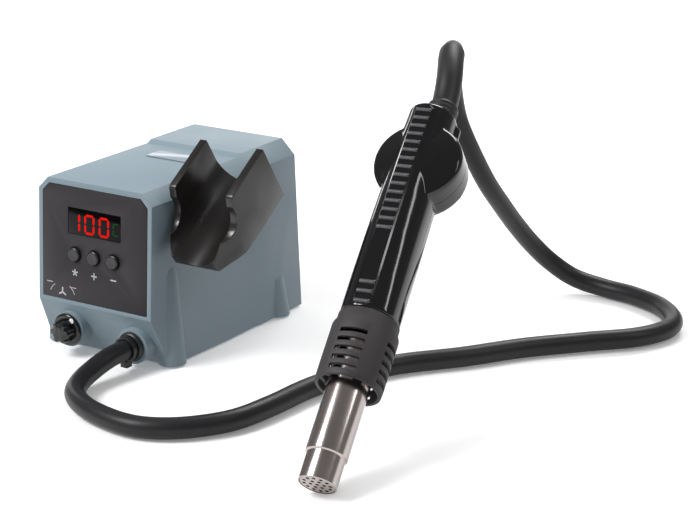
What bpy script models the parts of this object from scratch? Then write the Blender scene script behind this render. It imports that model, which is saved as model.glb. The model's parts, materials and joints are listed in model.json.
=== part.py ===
"""Hot air rework station: a moulded housing with a handset holder, and a blower handset on its hose.

Metres, +Z up. The station's own frame has X to the right, Y from the front to the rear and Z up from the
floor.
The handset's own frame has Z from the nozzle to the tail, -Y towards the ribbed front and X to its right.
"""

import math

import bmesh
import bpy
from mathutils import Matrix, Vector
from mathutils.geometry import interpolate_bezier

MM = 0.001

# Clearances
GAP = 0.3 * MM  # between pieces that touch
RUNNING_GAP = 0.4 * MM  # round a piece that moves
OVERCUT = 4 * MM  # how far a cutter runs past a face

# Housing
WALL = 2.5 * MM
STATION_DEPTH = 159 * MM
FRONT_HALF = 45 * MM
FRONT_HEIGHT = 114.8 * MM
FRONT_CHAMFER = 7.5 * MM
FRONT_LEAN = 5.1 * MM  # how far the face's top edge sits behind its lower edge
UNDERCUT_HEIGHT = 34.6 * MM
UNDERCUT_DEPTH = 15.5 * MM
FLARE_END = 70 * MM  # where the side walls stop flaring
FOOT_HALF = 50.6 * MM  # half-width along the floor behind the flare
STEP_PLACE = 105.8 * MM
STEP_LENGTH = 4 * MM
STEP_HEIGHT = 2 * MM
STEP_SIDE = 0.8 * MM
REAR_HALF = 46.8 * MM
REAR_CHAMFER = 10.2 * MM
RIM_HEIGHT = 1.0 * MM  # lower rim above the floor
BULGE_TOP = 66 * MM
BULGE_PLACES = (21 * MM, 134 * MM)
REAR_BULGE_TOP = 30 * MM
BULGE_RADIUS = 9 * MM
BULGE_PROUD = 5.5 * MM  # how far a screw bulge stands out of the wall at the floor

# Base plate, feet and their screws
PLATE = 2 * MM
PLATE_LOW = 2 * MM
FOOT_RADIUS = 6.5 * MM
FOOT_PLACE = (34 * MM, 32 * MM, 122 * MM)  # half-spacing across, then front and rear places
POST_RADIUS = 4.5 * MM
POST_HEIGHT = 26 * MM
POST_PLACE = (41.5 * MM, 26 * MM, 138 * MM)
SCREW_RADIUS = 1.7 * MM
SCREW_HEAD = 3.2 * MM
SCREW_LENGTH = 12 * MM
PLATE_VENTS = 6
PLATE_VENT_START = 62 * MM
PLATE_VENT_PITCH = 8 * MM
PLATE_VENT_SIZE = (16 * MM, 3 * MM)  # half-length across and width

# Front panel, in the plane of the leaning face
PANEL_HALF = 41.6 * MM
PANEL_LOW = 2.6 * MM
PANEL_HIGH = 76.6 * MM
PANEL_CUT = 5.4 * MM  # the two cut-off upper corners
PANEL_THICK = 1.2 * MM
PANEL_PROUD = 0.15 * MM
WINDOW_HALF = 20.8 * MM
WINDOW_LOW = 46.6 * MM
WINDOW_HIGH = 63.2 * MM
WINDOW_THICK = 1.0 * MM
DISPLAY_DEPTH = 7 * MM
BUTTON_PITCH = 15.4 * MM
BUTTON_PLACE = 33.4 * MM
BUTTON_RADIUS = 4.5 * MM
BUTTON_PROUD = 2.4 * MM
BUTTON_TRAVEL = 0.8 * MM
BUTTON_FLANGE = 1.0 * MM
BOARD_THICK = 1.6 * MM
BOARD_BACK = 11.5 * MM  # front circuit board's front face behind the housing's face
SWITCH_SIDE = 6 * MM

# Airflow knob
BOSS_DEPTH = 16 * MM
KNOB_X = -21.8 * MM
KNOB_Z = 17.2 * MM
SKIRT_RADIUS = 10.7 * MM
SKIRT_THICK = 2.6 * MM
GRIP_RADIUS = 7.2 * MM
GRIP_FLUTE = 1.1 * MM
GRIP_LOBES = 6
GRIP_LENGTH = 7 * MM
SHAFT_RADIUS = 3 * MM
BUSHING_RADIUS = 4 * MM
POT_RADIUS = 8 * MM
POT_DEPTH = 9 * MM

# Hose and its gland
HOSE_RADIUS = 6.5 * MM
HOSE_LIE = HOSE_RADIUS + 0.4 * MM  # height of the hose's middle where it lies on the floor
GLAND_X = 29.6 * MM
GLAND_Z = 15.4 * MM
GLAND_RADIUS = HOSE_RADIUS + 3.1 * MM
GLAND_PROUD = 3.4 * MM
GLAND_SLEEVE = HOSE_RADIUS + 1.8 * MM
GLAND_NUT_RADIUS = GLAND_SLEEVE + 3.2 * MM
BOSS_RADIUS = GLAND_RADIUS + 2.1 * MM  # of the bosses under the knob and the gland
GLAND_NUT_THICK = 4 * MM
TIE_PLACE = 6.4 * MM  # the tie's middle, in front of the face
TIE_WIDTH = 3.4 * MM
TIE_THICK = 1.2 * MM

# Handset holder
HOLDER_TILT = math.radians(33.5)
HOLDER_OUTER = 47.6 * MM
HOLDER_WALL = 5 * MM
HOLDER_LEFT = 49.4 * MM  # x of the ear beside the housing
HOLDER_CORNER = (72.6 * MM, 107.1 * MM)  # y, z of the lower rear corner
HOLDER_EAR = 41 * MM  # height over the lower face
HOLDER_TOP = 41.5 * MM  # length of an ear's upper edge
HOLDER_REACH = 69 * MM  # lip to rear face
HOLDER_FLOOR = 5.5 * MM
HOLDER_NOTCH = (55.5 * MM, 32 * MM, 12.5 * MM)  # finger notch: place, height, radius
PAD_PLACE = (36 * MM, 12 * MM)  # pad centre from the lower rear corner, along and square to the channel
PAD_SIZE = 17 * MM
PAD_SCREW_SPAN = 10 * MM
# The lip's outline, along and over the lower face, from the notch round to the rear face
HOLDER_LIP = ((-62.5 * MM, 20 * MM), (-70.5 * MM, 12 * MM), (-70 * MM, 4.2 * MM), (-57 * MM, 1.6 * MM))
# How far each side is drawn in, at places along the channel
HOLDER_TAPER = ((-50 * MM, 0.0), (-62 * MM, 4.6 * MM), (-69.5 * MM, 7 * MM), (-78 * MM, 9 * MM))
MAGNET_SIZE = 8 * MM
MAGNET_PLACE = 24 * MM  # from the lower rear corner along the channel
HOLDER_SCREW_DEPTH = HOLDER_WALL * 0.7

# Rear panel
REAR_PANEL_THICK = 2.5 * MM
REAR_PANEL_INSET = 1.0 * MM
INLET_X = -21 * MM
INLET_Z = 30 * MM
INLET_HALF = (13.5 * MM, 10 * MM)
INLET_FLANGE = 3 * MM
INLET_DEPTH = 22 * MM
SOCKET_DEPTH = 15 * MM
SOCKET_HALF = (11 * MM, 7.5 * MM)
PIN_PITCH = 7 * MM
PIN_HALF = (1 * MM, 2 * MM)
PIN_REACH = (14 * MM, 11 * MM)  # behind the socket's floor and into the socket
PIN_OFFSET = 2 * MM
FUSE_Z = 52 * MM
FUSE_RADIUS = 6 * MM
FUSE_CAP = 7.5 * MM
FUSE_DEPTH = 14 * MM
REAR_VENTS = 7
REAR_VENT_START = -27 * MM
REAR_VENT_PITCH = 9 * MM
REAR_VENT_HALF = 1.5 * MM
REAR_VENT_SPAN = (74 * MM, 96 * MM)
ROCKER_X = 22 * MM
ROCKER_Z = 36 * MM
ROCKER_HALF = (6.2 * MM, 9.6 * MM)
ROCKER_SWING = math.radians(9)  # either way from level; it rests with its top pressed in
ROCKER_FRAME = 2.2 * MM
SWITCH_BODY_EDGE = ROCKER_FRAME - 1 * MM  # wall round the rocker inside the panel's opening
ROCKER_BODY_DEPTH = 16 * MM

# Parts on the power board, and the label on the lid
BOARD_SPAN = (30 * MM, 46 * MM, 128 * MM)  # half-width, then front and rear edges
BOARD_RAISE = 5 * MM
IRON_SPAN = ((-22 * MM, 62 * MM), (14 * MM, 100 * MM))
IRON_HEIGHT = 33 * MM
WINDING_INSET = 6 * MM
WINDING_REACH = 5 * MM
SINK_X = 20 * MM
SINK_SPAN = (60 * MM, 106 * MM)
SINK_HEIGHT = 36 * MM
SINK_PLATE = 3 * MM
SINK_FINS = 6
SINK_FIN_PITCH = 8 * MM
SINK_FIN_REACH = 10 * MM
LABEL_LOW, LABEL_HIGH = (-16 * MM, 78 * MM), (22 * MM, 93 * MM)
LABEL_THICK = 0.4 * MM

# Handset, measured along its axis from the nozzle's end
NOZZLE_X, NOZZLE_Y = 234.4 * MM, -101.3 * MM
HANDSET_RISE = math.radians(41)  # above the floor
HANDSET_HEADING = math.radians(10.7)
SEAT_RADIUS = 11 * MM
SEAT_LENGTH = 16.5 * MM
BARREL_RADIUS = 12 * MM
BARREL_WALL = 0.8 * MM
BARREL_END = 118 * MM
SCREEN_THICK = 1.2 * MM
SCREEN_HOLE = 1.15 * MM
SCREEN_PITCH = 3.9 * MM
GUARD_START = 58.7 * MM
GUARD_END = 102 * MM
GUARD_RADIUS = 19.4 * MM
GUARD_NECK = 17.9 * MM
GUARD_WALL = 2.0 * MM
GUARD_SLOTS = 5
GUARD_GROUPS = 4
GUARD_TAPER = (7.5 * MM, 4 * MM)  # where the wide part ends and the neck starts, before the guard's end
WEB_THICK = 4 * MM
SLOT_START = 3.6 * MM
SLOT_LENGTH = 16 * MM
SLOT_HEIGHT = 2.6 * MM
SLOT_PITCH = 5.7 * MM
HANDLE_WALL = 2.0 * MM
HANDLE_END = 244.5 * MM
# Place along the handle, half-width and half-depth of its oval section
HANDLE_SECTIONS = (
    (0.0 * MM, 16.9 * MM, 17.4 * MM),
    (20.5 * MM, 16.9 * MM, 18.5 * MM),
    (46.5 * MM, 16.7 * MM, 19.3 * MM),
    (78.5 * MM, 16.3 * MM, 19.3 * MM),
    (103.5 * MM, 15.6 * MM, 18.6 * MM),
    (122.5 * MM, 14.9 * MM, 17.5 * MM),
    (137.5 * MM, 14.3 * MM, 16.4 * MM),
)
HANDLE_CROWN = 3 * MM  # length of the rounded tail
CROWN_DRAW = (0.7 * MM, 2.0 * MM)  # how far the tail's two last sections are drawn in
OVAL_POWER = 2.3
VOLUTE_PLACE = 206 * MM
VOLUTE_X = 2.2 * MM  # the blower housing stands a little to the right of the grip
VOLUTE_RADIUS = 26.6 * MM
VOLUTE_BAND = 9 * MM  # half-height of the straight rim
VOLUTE_SHOULDER = 3.5 * MM
VOLUTE_DOME = 17 * MM
LUG_RADIUS = 3.6 * MM
LUG_PLACE = (13.4 * MM, 4 * MM)  # across and behind the axis
LUG_REACH = (224 * MM, 240 * MM)
HANDLE_SCREWS = (22 * MM, 62 * MM)  # behind the guard's end
HANDLE_SCREW_SEAT = 6 * MM  # from the back shell's skin to the head's seat
HEATER_SPAN = (26 * MM, 92 * MM)
HEATER_ARM = (5 * MM, 1.2 * MM)  # reach and half-thickness of the ceramic cross
COIL_TURNS = 6
COIL_WIRE = 0.7 * MM
MOTOR_RADIUS = 12 * MM
MOTOR_SHAFT = 1 * MM
IMPELLER_HUB = 5 * MM
IMPELLER_DISC = 1.4 * MM
IMPELLER_BLADE = 0.6 * MM  # half-thickness
MOTOR_LENGTH = 11 * MM
IMPELLER_RADIUS = 20 * MM
IMPELLER_BLADES = 11
IMPELLER_HEIGHT = 7 * MM
GRILLE_RADIUS = 13 * MM
GRILLE_THICK = 1.6 * MM
GRILLE_SLOT_PITCH = 4.2 * MM
GRILLE_SLOT_HALF = 1.1 * MM
TAIL_X = 3.5 * MM  # the boot's and the hose's place across the tail
BOOT_COLLAR = (HOSE_RADIUS + 2.7 * MM, 8 * MM)  # radius and length of the flare against the tail
BOOT_RADIUS = HOSE_RADIUS + 1.4 * MM
BOOT_REACH = 62 * MM  # how far the boot runs along the hose from the tail
BOOT_NECK = HOSE_RADIUS + 1.2 * MM
BOOT_SEAT = 8 * MM  # how deep the boot sits in the handle

# The hose's way over the floor and up to the tail, in the station's frame and in millimetres.
# The third number is the height over where the hose lies on the floor.
HOSE_ROUTE = (
    (28.6, -21.5, 7.6),
    (27.4, -35.5, 4.3),
    (29.0, -50.5, 1.3),
    (37.0, -65.0, 0.0),
    (54.5, -77.5, 0.0),
    (75.8, -84.5, 0.0),
    (97.5, -86.2, 0.0),
    (114.5, -80.0, 0.0),
    (129.6, -66.8, 0.0),
    (141.8, -47.0, 0.0),
    (147.5, -17.5, 0.0),
    (151.0, 18.5, 0.0),
    (160.5, 53.0, 0.0),
    (177.0, 83.0, 0.0),
    (203.0, 114.0, 0.0),
    (227.5, 148.5, 0.0),
    (256.5, 180.5, 0.0),
    (283.5, 210.0, 0.0),
    (291.0, 239.5, 0.0),
    (272.5, 267.3, 0.0),
    (245.0, 281.2, 0.0),
    (220.0, 285.2, 0.3),
    (198.5, 281.6, 5.1),
    (184.0, 274.0, 16.1),
    (175.8, 261.5, 30.6),
    (171.8, 244.3, 48.1),
    (170.4, 224.8, 67.1),
    (168.6, 206.0, 87.1),
    (166.0, 188.8, 111.1),
    (163.2, 178.2, 130.1),
    (161.8, 173.8, 142.1),
    (163.6, 165.5, 160.6),
    (169.8, 154.0, 175.4),
    (177.6, 140.5, 186.7),
    (185.2, 127.2, 191.9),
    (192.2, 112.8, 189.0),
    (198.0, 101.2, 181.5),
)
HOSE_POINTS = 80


def clear_scene():
    for obj in list(bpy.data.objects):
        bpy.data.objects.remove(obj, do_unlink=True)


def material(name, colour, roughness, metallic=0.0):
    """A Principled material, made once."""
    found = bpy.data.materials.get(name)
    if found:
        return found
    made = bpy.data.materials.new(name)
    made.use_nodes = True
    shader = made.node_tree.nodes["Principled BSDF"]
    shader.inputs["Base Color"].default_value = (*colour, 1.0)
    shader.inputs["Roughness"].default_value = roughness
    shader.inputs["Metallic"].default_value = metallic
    return made


def empty(name, parent=None, location=(0, 0, 0), rotation=(0, 0, 0)):
    made = bpy.data.objects.new(name, None)
    made.empty_display_size = 20 * MM
    made.parent = parent
    made.location = location
    made.rotation_euler = rotation
    bpy.context.scene.collection.objects.link(made)
    return made


def solid(name, form, finish, parent, location=(0, 0, 0), rotation=(0, 0, 0), smooth=False):
    """One object from a bmesh, its faces turned outwards."""
    bmesh.ops.recalc_face_normals(form, faces=form.faces)
    mesh = bpy.data.meshes.new(name)
    form.to_mesh(mesh)
    form.free()
    if smooth:
        mesh.shade_smooth()
        mesh.set_sharp_from_angle(angle=math.radians(35))
    made = bpy.data.objects.new(name, mesh)
    if finish:
        mesh.materials.append(finish)
    made.parent = parent
    made.location = location
    made.rotation_euler = rotation
    bpy.context.scene.collection.objects.link(made)
    return made


def combine(target, operation, *tools):
    """Boolean modifiers that stay on the target. The tools are guides and stay out of a render."""
    for tool in tools:
        tool.hide_render = True
        tool.display_type = "WIRE"
        modifier = target.modifiers.new(tool.name, "BOOLEAN")
        modifier.operation = operation
        modifier.solver = "EXACT"
        modifier.object = tool


def block(low, high):
    """A box between two corners."""
    form = bmesh.new()
    bmesh.ops.create_cube(form, size=1.0)
    size = [b - a for a, b in zip(low, high)]
    middle = [(a + b) / 2 for a, b in zip(low, high)]
    bmesh.ops.transform(form, matrix=Matrix.Translation(middle) @ Matrix.Diagonal((*size, 1.0)),
                        verts=form.verts)
    return form


def loft(rings):
    """A closed skin through rings with the same number of points, capped at both ends."""
    form = bmesh.new()
    made = [[form.verts.new(point) for point in ring] for ring in rings]
    count = len(made[0])
    for low, high in zip(made, made[1:]):
        for i in range(count):
            form.faces.new((low[i], low[(i + 1) % count], high[(i + 1) % count], high[i]))
    form.faces.new(made[0][::-1])
    form.faces.new(made[-1])
    return form


AXES = {"X": (1, 2, 0), "Y": (0, 2, 1), "Z": (0, 1, 2)}


def placed(u, v, along, axis):
    """A point from its two places in the section and its place along the axis."""
    point = [0.0, 0.0, 0.0]
    first, second, third = AXES[axis]
    point[first], point[second], point[third] = u, v, along
    return point


def extruded(outline, low, high, axis="Z"):
    """A flat outline pushed along an axis."""
    return loft([[placed(u, v, along, axis) for u, v in outline] for along in (low, high)])


def round_bar(radius, low, high, axis="Z", sides=24, centre=(0, 0)):
    outline = circle(radius, sides, centre)
    return extruded(outline, low, high, axis)


def circle(radius, sides, centre=(0, 0), start=0.0, turn=2 * math.pi):
    """Points round a circle, or along an arc with both its ends when the turn isn't whole."""
    steps = sides if abs(turn) > 6.28 else sides - 1
    angles = [start + turn * i / steps for i in range(sides)]
    return [(centre[0] + radius * math.cos(a), centre[1] + radius * math.sin(a)) for a in angles]


def turned(profile, sides, axis="Z"):
    """A closed profile of (radius, place) points turned round an axis. Points of no radius lie on it."""
    form = bmesh.new()
    rings = []
    for radius, along in profile:
        if radius < 1e-7:
            rings.append([form.verts.new(placed(0, 0, along, axis))])
        else:
            rings.append([form.verts.new(placed(u, v, along, axis)) for u, v in circle(radius, sides)])
    closed = all(len(ring) > 1 for ring in rings)
    pairs = list(zip(rings, rings[1:]))
    if closed:
        pairs.append((rings[-1], rings[0]))
    for low, high in pairs:
        for i in range(sides):
            j = (i + 1) % sides
            corners = (low[i % len(low)], low[j % len(low)], high[j % len(high)], high[i % len(high)])
            unique = list(dict.fromkeys(corners))
            if len(unique) > 2:
                form.faces.new(unique)
    return form


def tube(outer, inner, low, high, axis="Z", sides=32):
    return turned(((outer, low), (outer, high), (inner, high), (inner, low)), sides, axis)


def smooth_way(points, count):
    """Evenly spaced points on one smooth curve through hand-chosen ones."""
    places = [Vector(p) for p in points]
    tangents = []
    for i, place in enumerate(places):
        before, after = places[max(i - 1, 0)], places[min(i + 1, len(places) - 1)]
        tangents.append((after - before).normalized())
    fine = []
    for i in range(len(places) - 1):
        reach = (places[i + 1] - places[i]).length / 3
        handles = (places[i] + tangents[i] * reach, places[i + 1] - tangents[i + 1] * reach)
        fine += interpolate_bezier(places[i], *handles, places[i + 1], 24)[:-1]
    fine.append(places[-1])
    lengths = [0.0]
    for a, b in zip(fine, fine[1:]):
        lengths.append(lengths[-1] + (b - a).length)
    way, k = [], 0
    for i in range(count):
        target = lengths[-1] * i / (count - 1)
        while k < len(lengths) - 2 and lengths[k + 1] < target:
            k += 1
        share = (target - lengths[k]) / max(lengths[k + 1] - lengths[k], 1e-9)
        way.append(fine[k].lerp(fine[k + 1], min(share, 1.0)))
    return way


def bar_on_way(name, way, radius, resolution, finish, parent):
    """A round bar along a way, as a curve with a bevel and filled ends."""
    curve = bpy.data.curves.new(name, "CURVE")
    curve.dimensions = "3D"
    spline = curve.splines.new("POLY")
    spline.points.add(len(way) - 1)
    for point, place in zip(spline.points, way):
        point.co = (*place, 1.0)
    curve.bevel_depth = radius
    curve.bevel_resolution = resolution
    curve.use_fill_caps = True
    curve.materials.append(finish)
    made = bpy.data.objects.new(name, curve)
    made.parent = parent
    bpy.context.scene.collection.objects.link(made)
    return made


def swept(way, radius, sides):
    """A round bar along a way, its rings square to the way and turned as little as possible."""
    rings = []
    side = None
    for i, place in enumerate(way):
        along = (way[min(i + 1, len(way) - 1)] - way[max(i - 1, 0)]).normalized()
        side = (side or along.orthogonal()) - along * along.dot(side or along.orthogonal())
        side.normalize()
        across = along.cross(side)
        rings.append([place + side * u + across * v for u, v in circle(radius, sides)])
    return loft(rings)


def reach_along(way, length):
    """The part of a way within a length of its end."""
    kept, left = [way[-1]], length
    for a, b in zip(reversed(way[:-1]), reversed(way[1:])):
        left -= (b - a).length
        if left < 0:
            break
        kept.append(a)
    return kept[::-1]


# ---------------------------------------------------------------- housing


def face_y(z):
    """The leaning face's place above the undercut."""
    return FRONT_LEAN * (z - UNDERCUT_HEIGHT) / (FRONT_HEIGHT - UNDERCUT_HEIGHT)


def housing_sections(inset=0.0):
    """Rings of six points from the front to the rear. With an inset they bound the hollow."""
    low = -OVERCUT if inset else RIM_HEIGHT
    undercut_slope = UNDERCUT_DEPTH / (UNDERCUT_HEIGHT - RIM_HEIGHT)
    undercut_end = inset + undercut_slope * (UNDERCUT_HEIGHT - low)
    step_top = FRONT_HEIGHT + STEP_HEIGHT
    rear_end = STATION_DEPTH + (OVERCUT if inset else 0.0)
    flare_high = (FRONT_HALF + REAR_HALF) / 2
    rows = (
        (None, FRONT_HALF, FRONT_HALF, FRONT_HEIGHT, FRONT_CHAMFER, UNDERCUT_HEIGHT),
        (undercut_end, FRONT_HALF + 3 * MM, FRONT_HALF, FRONT_HEIGHT, FRONT_CHAMFER, low),
        (FLARE_END, FOOT_HALF, flare_high, FRONT_HEIGHT, REAR_CHAMFER - STEP_SIDE, low),
        (STEP_PLACE, FOOT_HALF, flare_high, FRONT_HEIGHT, REAR_CHAMFER - STEP_SIDE, low),
        (STEP_PLACE + STEP_LENGTH, FOOT_HALF + STEP_SIDE, flare_high + STEP_SIDE, step_top, REAR_CHAMFER,
         low),
        (rear_end, FOOT_HALF + STEP_SIDE, REAR_HALF, step_top, REAR_CHAMFER, low),
    )
    rings = []
    for y, half_low, half_high, top, chamfer, z_low in rows:
        bottom, upper, crest = half_low - inset, half_high - inset, top - inset
        cut = chamfer - inset * (math.sqrt(2) - 1) ** 2
        outline = ((-bottom, z_low), (-upper, crest - cut), (-upper + cut, crest))
        outline += tuple((-x, z) for x, z in reversed(outline))
        rings.append([(x, face_y(z) + inset if y is None else y, z) for x, z in outline])
    return rings


def half_at_floor(y):
    """Outer half-width of the housing along the floor."""
    rows = [(ring[0][1], -ring[0][0]) for ring in housing_sections()[1:]]
    for (y0, half0), (y1, half1) in zip(rows, rows[1:]):
        if y <= y1:
            return half0 + (half1 - half0) * max(y - y0, 0.0) / (y1 - y0)
    return rows[-1][1]


def bulge(name, side, y, top, station):
    """A leaning half-cone that stands out of the wall over a screw post."""
    wall_low, wall_high = half_at_floor(y), FRONT_HALF + 1 * MM
    rings = []
    for z, wall, proud, radius in (
        (RIM_HEIGHT, wall_low, BULGE_PROUD, BULGE_RADIUS),
        (top * 0.9, wall_low + (wall_high - wall_low) * top * 0.9 / FRONT_HEIGHT, 1.6 * MM,
         BULGE_RADIUS * 0.9),
        (top, wall_low + (wall_high - wall_low) * top / FRONT_HEIGHT, -1.0 * MM, BULGE_RADIUS * 0.8),
    ):
        centre = (side * (wall + proud - radius), y)
        rings.append([(px, py, z) for px, py in circle(radius, 20, centre)])
    return solid(name, loft(rings), None, station)


def housing(station, face):
    abs_grey = material("housing_plastic", (0.27, 0.34, 0.39), 0.45)
    shell = solid("housing_shell", loft(housing_sections()), abs_grey, station)
    bulges = []
    for label, y, top in zip(("front", "rear"), BULGE_PLACES, (BULGE_TOP, REAR_BULGE_TOP)):
        for side in (-1, 1):
            bulges.append(bulge(f"bulge_{label}_{side}", side, y, top, station))
    bosses = []
    for name, x, z in (("knob_boss", KNOB_X, KNOB_Z), ("gland_boss", GLAND_X, GLAND_Z)):
        bosses.append(solid(name, round_bar(BOSS_RADIUS, 0, BOSS_DEPTH, "Y", 32, (x, z)), None, station))
    pad_y, pad_z = holder_pad_centre()
    half = PAD_SIZE / 2
    pad = block((FRONT_HALF - WALL, pad_y - half, pad_z - half),
                (HOLDER_LEFT - GAP, pad_y + half, pad_z + half))
    pad = solid("holder_pad", pad, None, station)
    combine(shell, "UNION", *bulges, *bosses, pad)
    hollow = solid("hollow", loft(housing_sections(WALL)), None, station)
    combine(shell, "DIFFERENCE", hollow)
    inner_bosses, holes = [], []
    for name, x, z, hole in (
        ("knob_seat", KNOB_X, KNOB_Z, BUSHING_RADIUS + GAP),
        ("gland_seat", GLAND_X, GLAND_Z, GLAND_SLEEVE + GAP),
    ):
        inner_bosses.append(solid(name,
                                  round_bar(BOSS_RADIUS - 0.6 * MM, 1 * MM, BOSS_DEPTH, "Y", 28,
                                            (x, z)), None, station))
        holes.append(solid(f"{name}_hole", round_bar(hole, -OVERCUT, BOSS_DEPTH + OVERCUT, "Y", 24, (x, z)),
                           None, station))
    posts, pilots = [], []
    for number, (x, y) in enumerate(post_places()):
        low = PLATE_LOW + PLATE + GAP
        posts.append(solid(f"post_{number}", round_bar(POST_RADIUS, low, low + POST_HEIGHT, "Z", 16, (x, y)),
                           None, station))
        wall = math.copysign(half_at_floor(y) - WALL / 2, x)
        rib = block((min(x, wall), y - 1 * MM, low + 1 * MM),
                    (max(x, wall), y + 1 * MM, low + POST_HEIGHT - 2 * MM))
        posts.append(solid(f"post_rib_{number}", rib, None, station))
        pilot = round_bar(SCREW_RADIUS + GAP, 0, PLATE_LOW + SCREW_LENGTH + 2 * MM, "Z", 16, (x, y))
        pilots.append(solid(f"pilot_{number}", pilot, None, station))
    combine(shell, "UNION", *inner_bosses, *posts)
    for y, z in pad_screws():
        bar = round_bar(SCREW_RADIUS + GAP, FRONT_HALF - 12 * MM, HOLDER_LEFT + OVERCUT, "X", 16, (y, z))
        holes.append(solid(f"pad_hole_{len(holes)}", bar, None, station))
    recess = extruded(panel_outline(GAP), -OVERCUT, PANEL_THICK - PANEL_PROUD + GAP, "Y")
    holes.append(solid("panel_recess", recess, None, face))
    holes.append(solid("window_hole",
                       block((-WINDOW_HALF, 0, WINDOW_LOW),
                             (WINDOW_HALF, WALL + OVERCUT, WINDOW_HIGH)), None, face))
    for x in button_places():
        bar = round_bar(BUTTON_RADIUS + RUNNING_GAP, 0, WALL + OVERCUT, "Y", 20, (x, BUTTON_PLACE))
        holes.append(solid(f"button_hole_{len(holes)}", bar, None, face))
    combine(shell, "DIFFERENCE", *pilots, *holes)
    return shell


def post_places():
    across, front, rear = POST_PLACE
    return [(side * across, y) for y in (front, rear) for side in (-1, 1)]


# ---------------------------------------------------------------- base


def plate_outline():
    front = UNDERCUT_DEPTH + WALL + 2 * GAP
    rear = STATION_DEPTH - REAR_PANEL_INSET
    inset = WALL + 2 * GAP
    places = (front, FLARE_END, STEP_PLACE, rear)
    right = [(half_at_floor(y) - inset, y) for y in places]
    return right + [(-x, y) for x, y in reversed(right)]


def base(station):
    steel = material("base_steel", (0.03, 0.03, 0.035), 0.5, 0.4)
    plate = solid("base_plate", extruded(plate_outline(), PLATE_LOW, PLATE_LOW + PLATE), steel, station)
    holes = []
    for number, (x, y) in enumerate(post_places()):
        hole = round_bar(SCREW_RADIUS + GAP, PLATE_LOW - OVERCUT, PLATE_LOW + PLATE + OVERCUT, "Z", 16,
                         (x, y))
        holes.append(solid(f"plate_hole_{number}", hole, None, station))
    half, width = PLATE_VENT_SIZE
    for index in range(PLATE_VENTS):
        y = PLATE_VENT_START + index * PLATE_VENT_PITCH
        slot = block((-half, y, PLATE_LOW - OVERCUT), (half, y + width, PLATE_LOW + PLATE + OVERCUT))
        holes.append(solid(f"plate_vent_{index}", slot, None, station))
    combine(plate, "DIFFERENCE", *holes)
    rubber = material("foot_rubber", (0.02, 0.02, 0.02), 0.85)
    across, front, rear = FOOT_PLACE
    top = PLATE_LOW - GAP
    profile = ((0, 0), (FOOT_RADIUS - 0.5 * MM, 0), (FOOT_RADIUS, 0.5 * MM), (FOOT_RADIUS, top), (0, top))
    for row, y in (("front", front), ("rear", rear)):
        for side, x in (("left", -across), ("right", across)):
            solid(f"foot_{row}_{side}", turned(profile, 16), rubber, station, (x, y, 0), smooth=True)
    zinc = material("screw_zinc", (0.55, 0.55, 0.56), 0.35, 1.0)
    under = PLATE_LOW - GAP
    profile = ((0, 0.5 * MM), (SCREW_HEAD * 0.8, 0.5 * MM), (SCREW_HEAD, under), (SCREW_RADIUS, under),
               (SCREW_RADIUS, under + SCREW_LENGTH), (0, under + SCREW_LENGTH))
    for number, (x, y) in enumerate(post_places(), 1):
        solid(f"base_screw_{number}", turned(profile, 12), zinc, station, (x, y, 0), smooth=True)


# ---------------------------------------------------------------- front panel, display and buttons


def panel_outline(grow=0.0):
    """Outline of the dark panel, with its two upper corners cut off."""
    half, low, high = PANEL_HALF + grow, PANEL_LOW - grow, PANEL_HIGH + grow
    cut = PANEL_CUT
    return [(-half, low), (half, low), (half, high - cut), (half - cut, high), (-half + cut, high),
            (-half, high - cut)]


def button_places():
    return [BUTTON_PITCH * i for i in (-1, 0, 1)]


def front_panel(face):
    dark = material("panel_print", (0.055, 0.05, 0.052), 0.5)
    back = PANEL_THICK - PANEL_PROUD
    panel = solid("front_panel", extruded(panel_outline(), -PANEL_PROUD, back, "Y"), dark, face)
    holes = []
    window = block((-WINDOW_HALF - GAP, -OVERCUT, WINDOW_LOW - GAP),
                   (WINDOW_HALF + GAP, OVERCUT, WINDOW_HIGH + GAP))
    holes.append(solid("panel_window", window, None, face))
    for index, x in enumerate(button_places()):
        bar = round_bar(BUTTON_RADIUS + RUNNING_GAP, -OVERCUT, OVERCUT, "Y", 20, (x, BUTTON_PLACE))
        holes.append(solid(f"panel_hole_{index}", bar, None, face))
    combine(panel, "DIFFERENCE", *holes)
    smoked = material("display_lens", (0.01, 0.004, 0.004), 0.08)
    lens = block((-WINDOW_HALF, 0, WINDOW_LOW), (WINDOW_HALF, WINDOW_THICK, WINDOW_HIGH))
    solid("display_window", lens, smoked, face)
    led = material("display_led", (0.35, 0.01, 0.01), 0.4)
    front = WINDOW_THICK + GAP + 0.6 * MM
    inset = 2 * GAP
    body = block((-WINDOW_HALF + inset, front, WINDOW_LOW + inset),
                 (WINDOW_HALF - inset, front + DISPLAY_DEPTH, WINDOW_HIGH - inset))
    solid("display_module", body, led, face)


def buttons(face):
    """Three sprung caps, each with a flange behind the housing wall, over its switch on the board."""
    cap_plastic = material("button_plastic", (0.03, 0.03, 0.032), 0.4)
    switch_black = material("switch_body", (0.02, 0.02, 0.02), 0.5)
    wall_back = WALL + GAP
    for name, x in zip(("mode", "plus", "minus"), button_places()):
        end = wall_back + BUTTON_FLANGE
        flange = BUTTON_RADIUS + 1 * MM
        profile = ((0, -BUTTON_PROUD), (BUTTON_RADIUS - 0.5 * MM, -BUTTON_PROUD),
                   (BUTTON_RADIUS, -BUTTON_PROUD + 0.5 * MM), (BUTTON_RADIUS, wall_back),
                   (flange, wall_back), (flange, end), (0, end))
        solid(f"button_{name}", turned(profile, 18, "Y"), cap_plastic, face, (x, 0, BUTTON_PLACE),
              smooth=True)
        half = SWITCH_SIDE / 2
        front = end + BUTTON_TRAVEL + GAP
        body = block((x - half, front, BUTTON_PLACE - half),
                     (x + half, BOARD_BACK - GAP, BUTTON_PLACE + half))
        solid(f"switch_{name}", body, switch_black, face)


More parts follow.
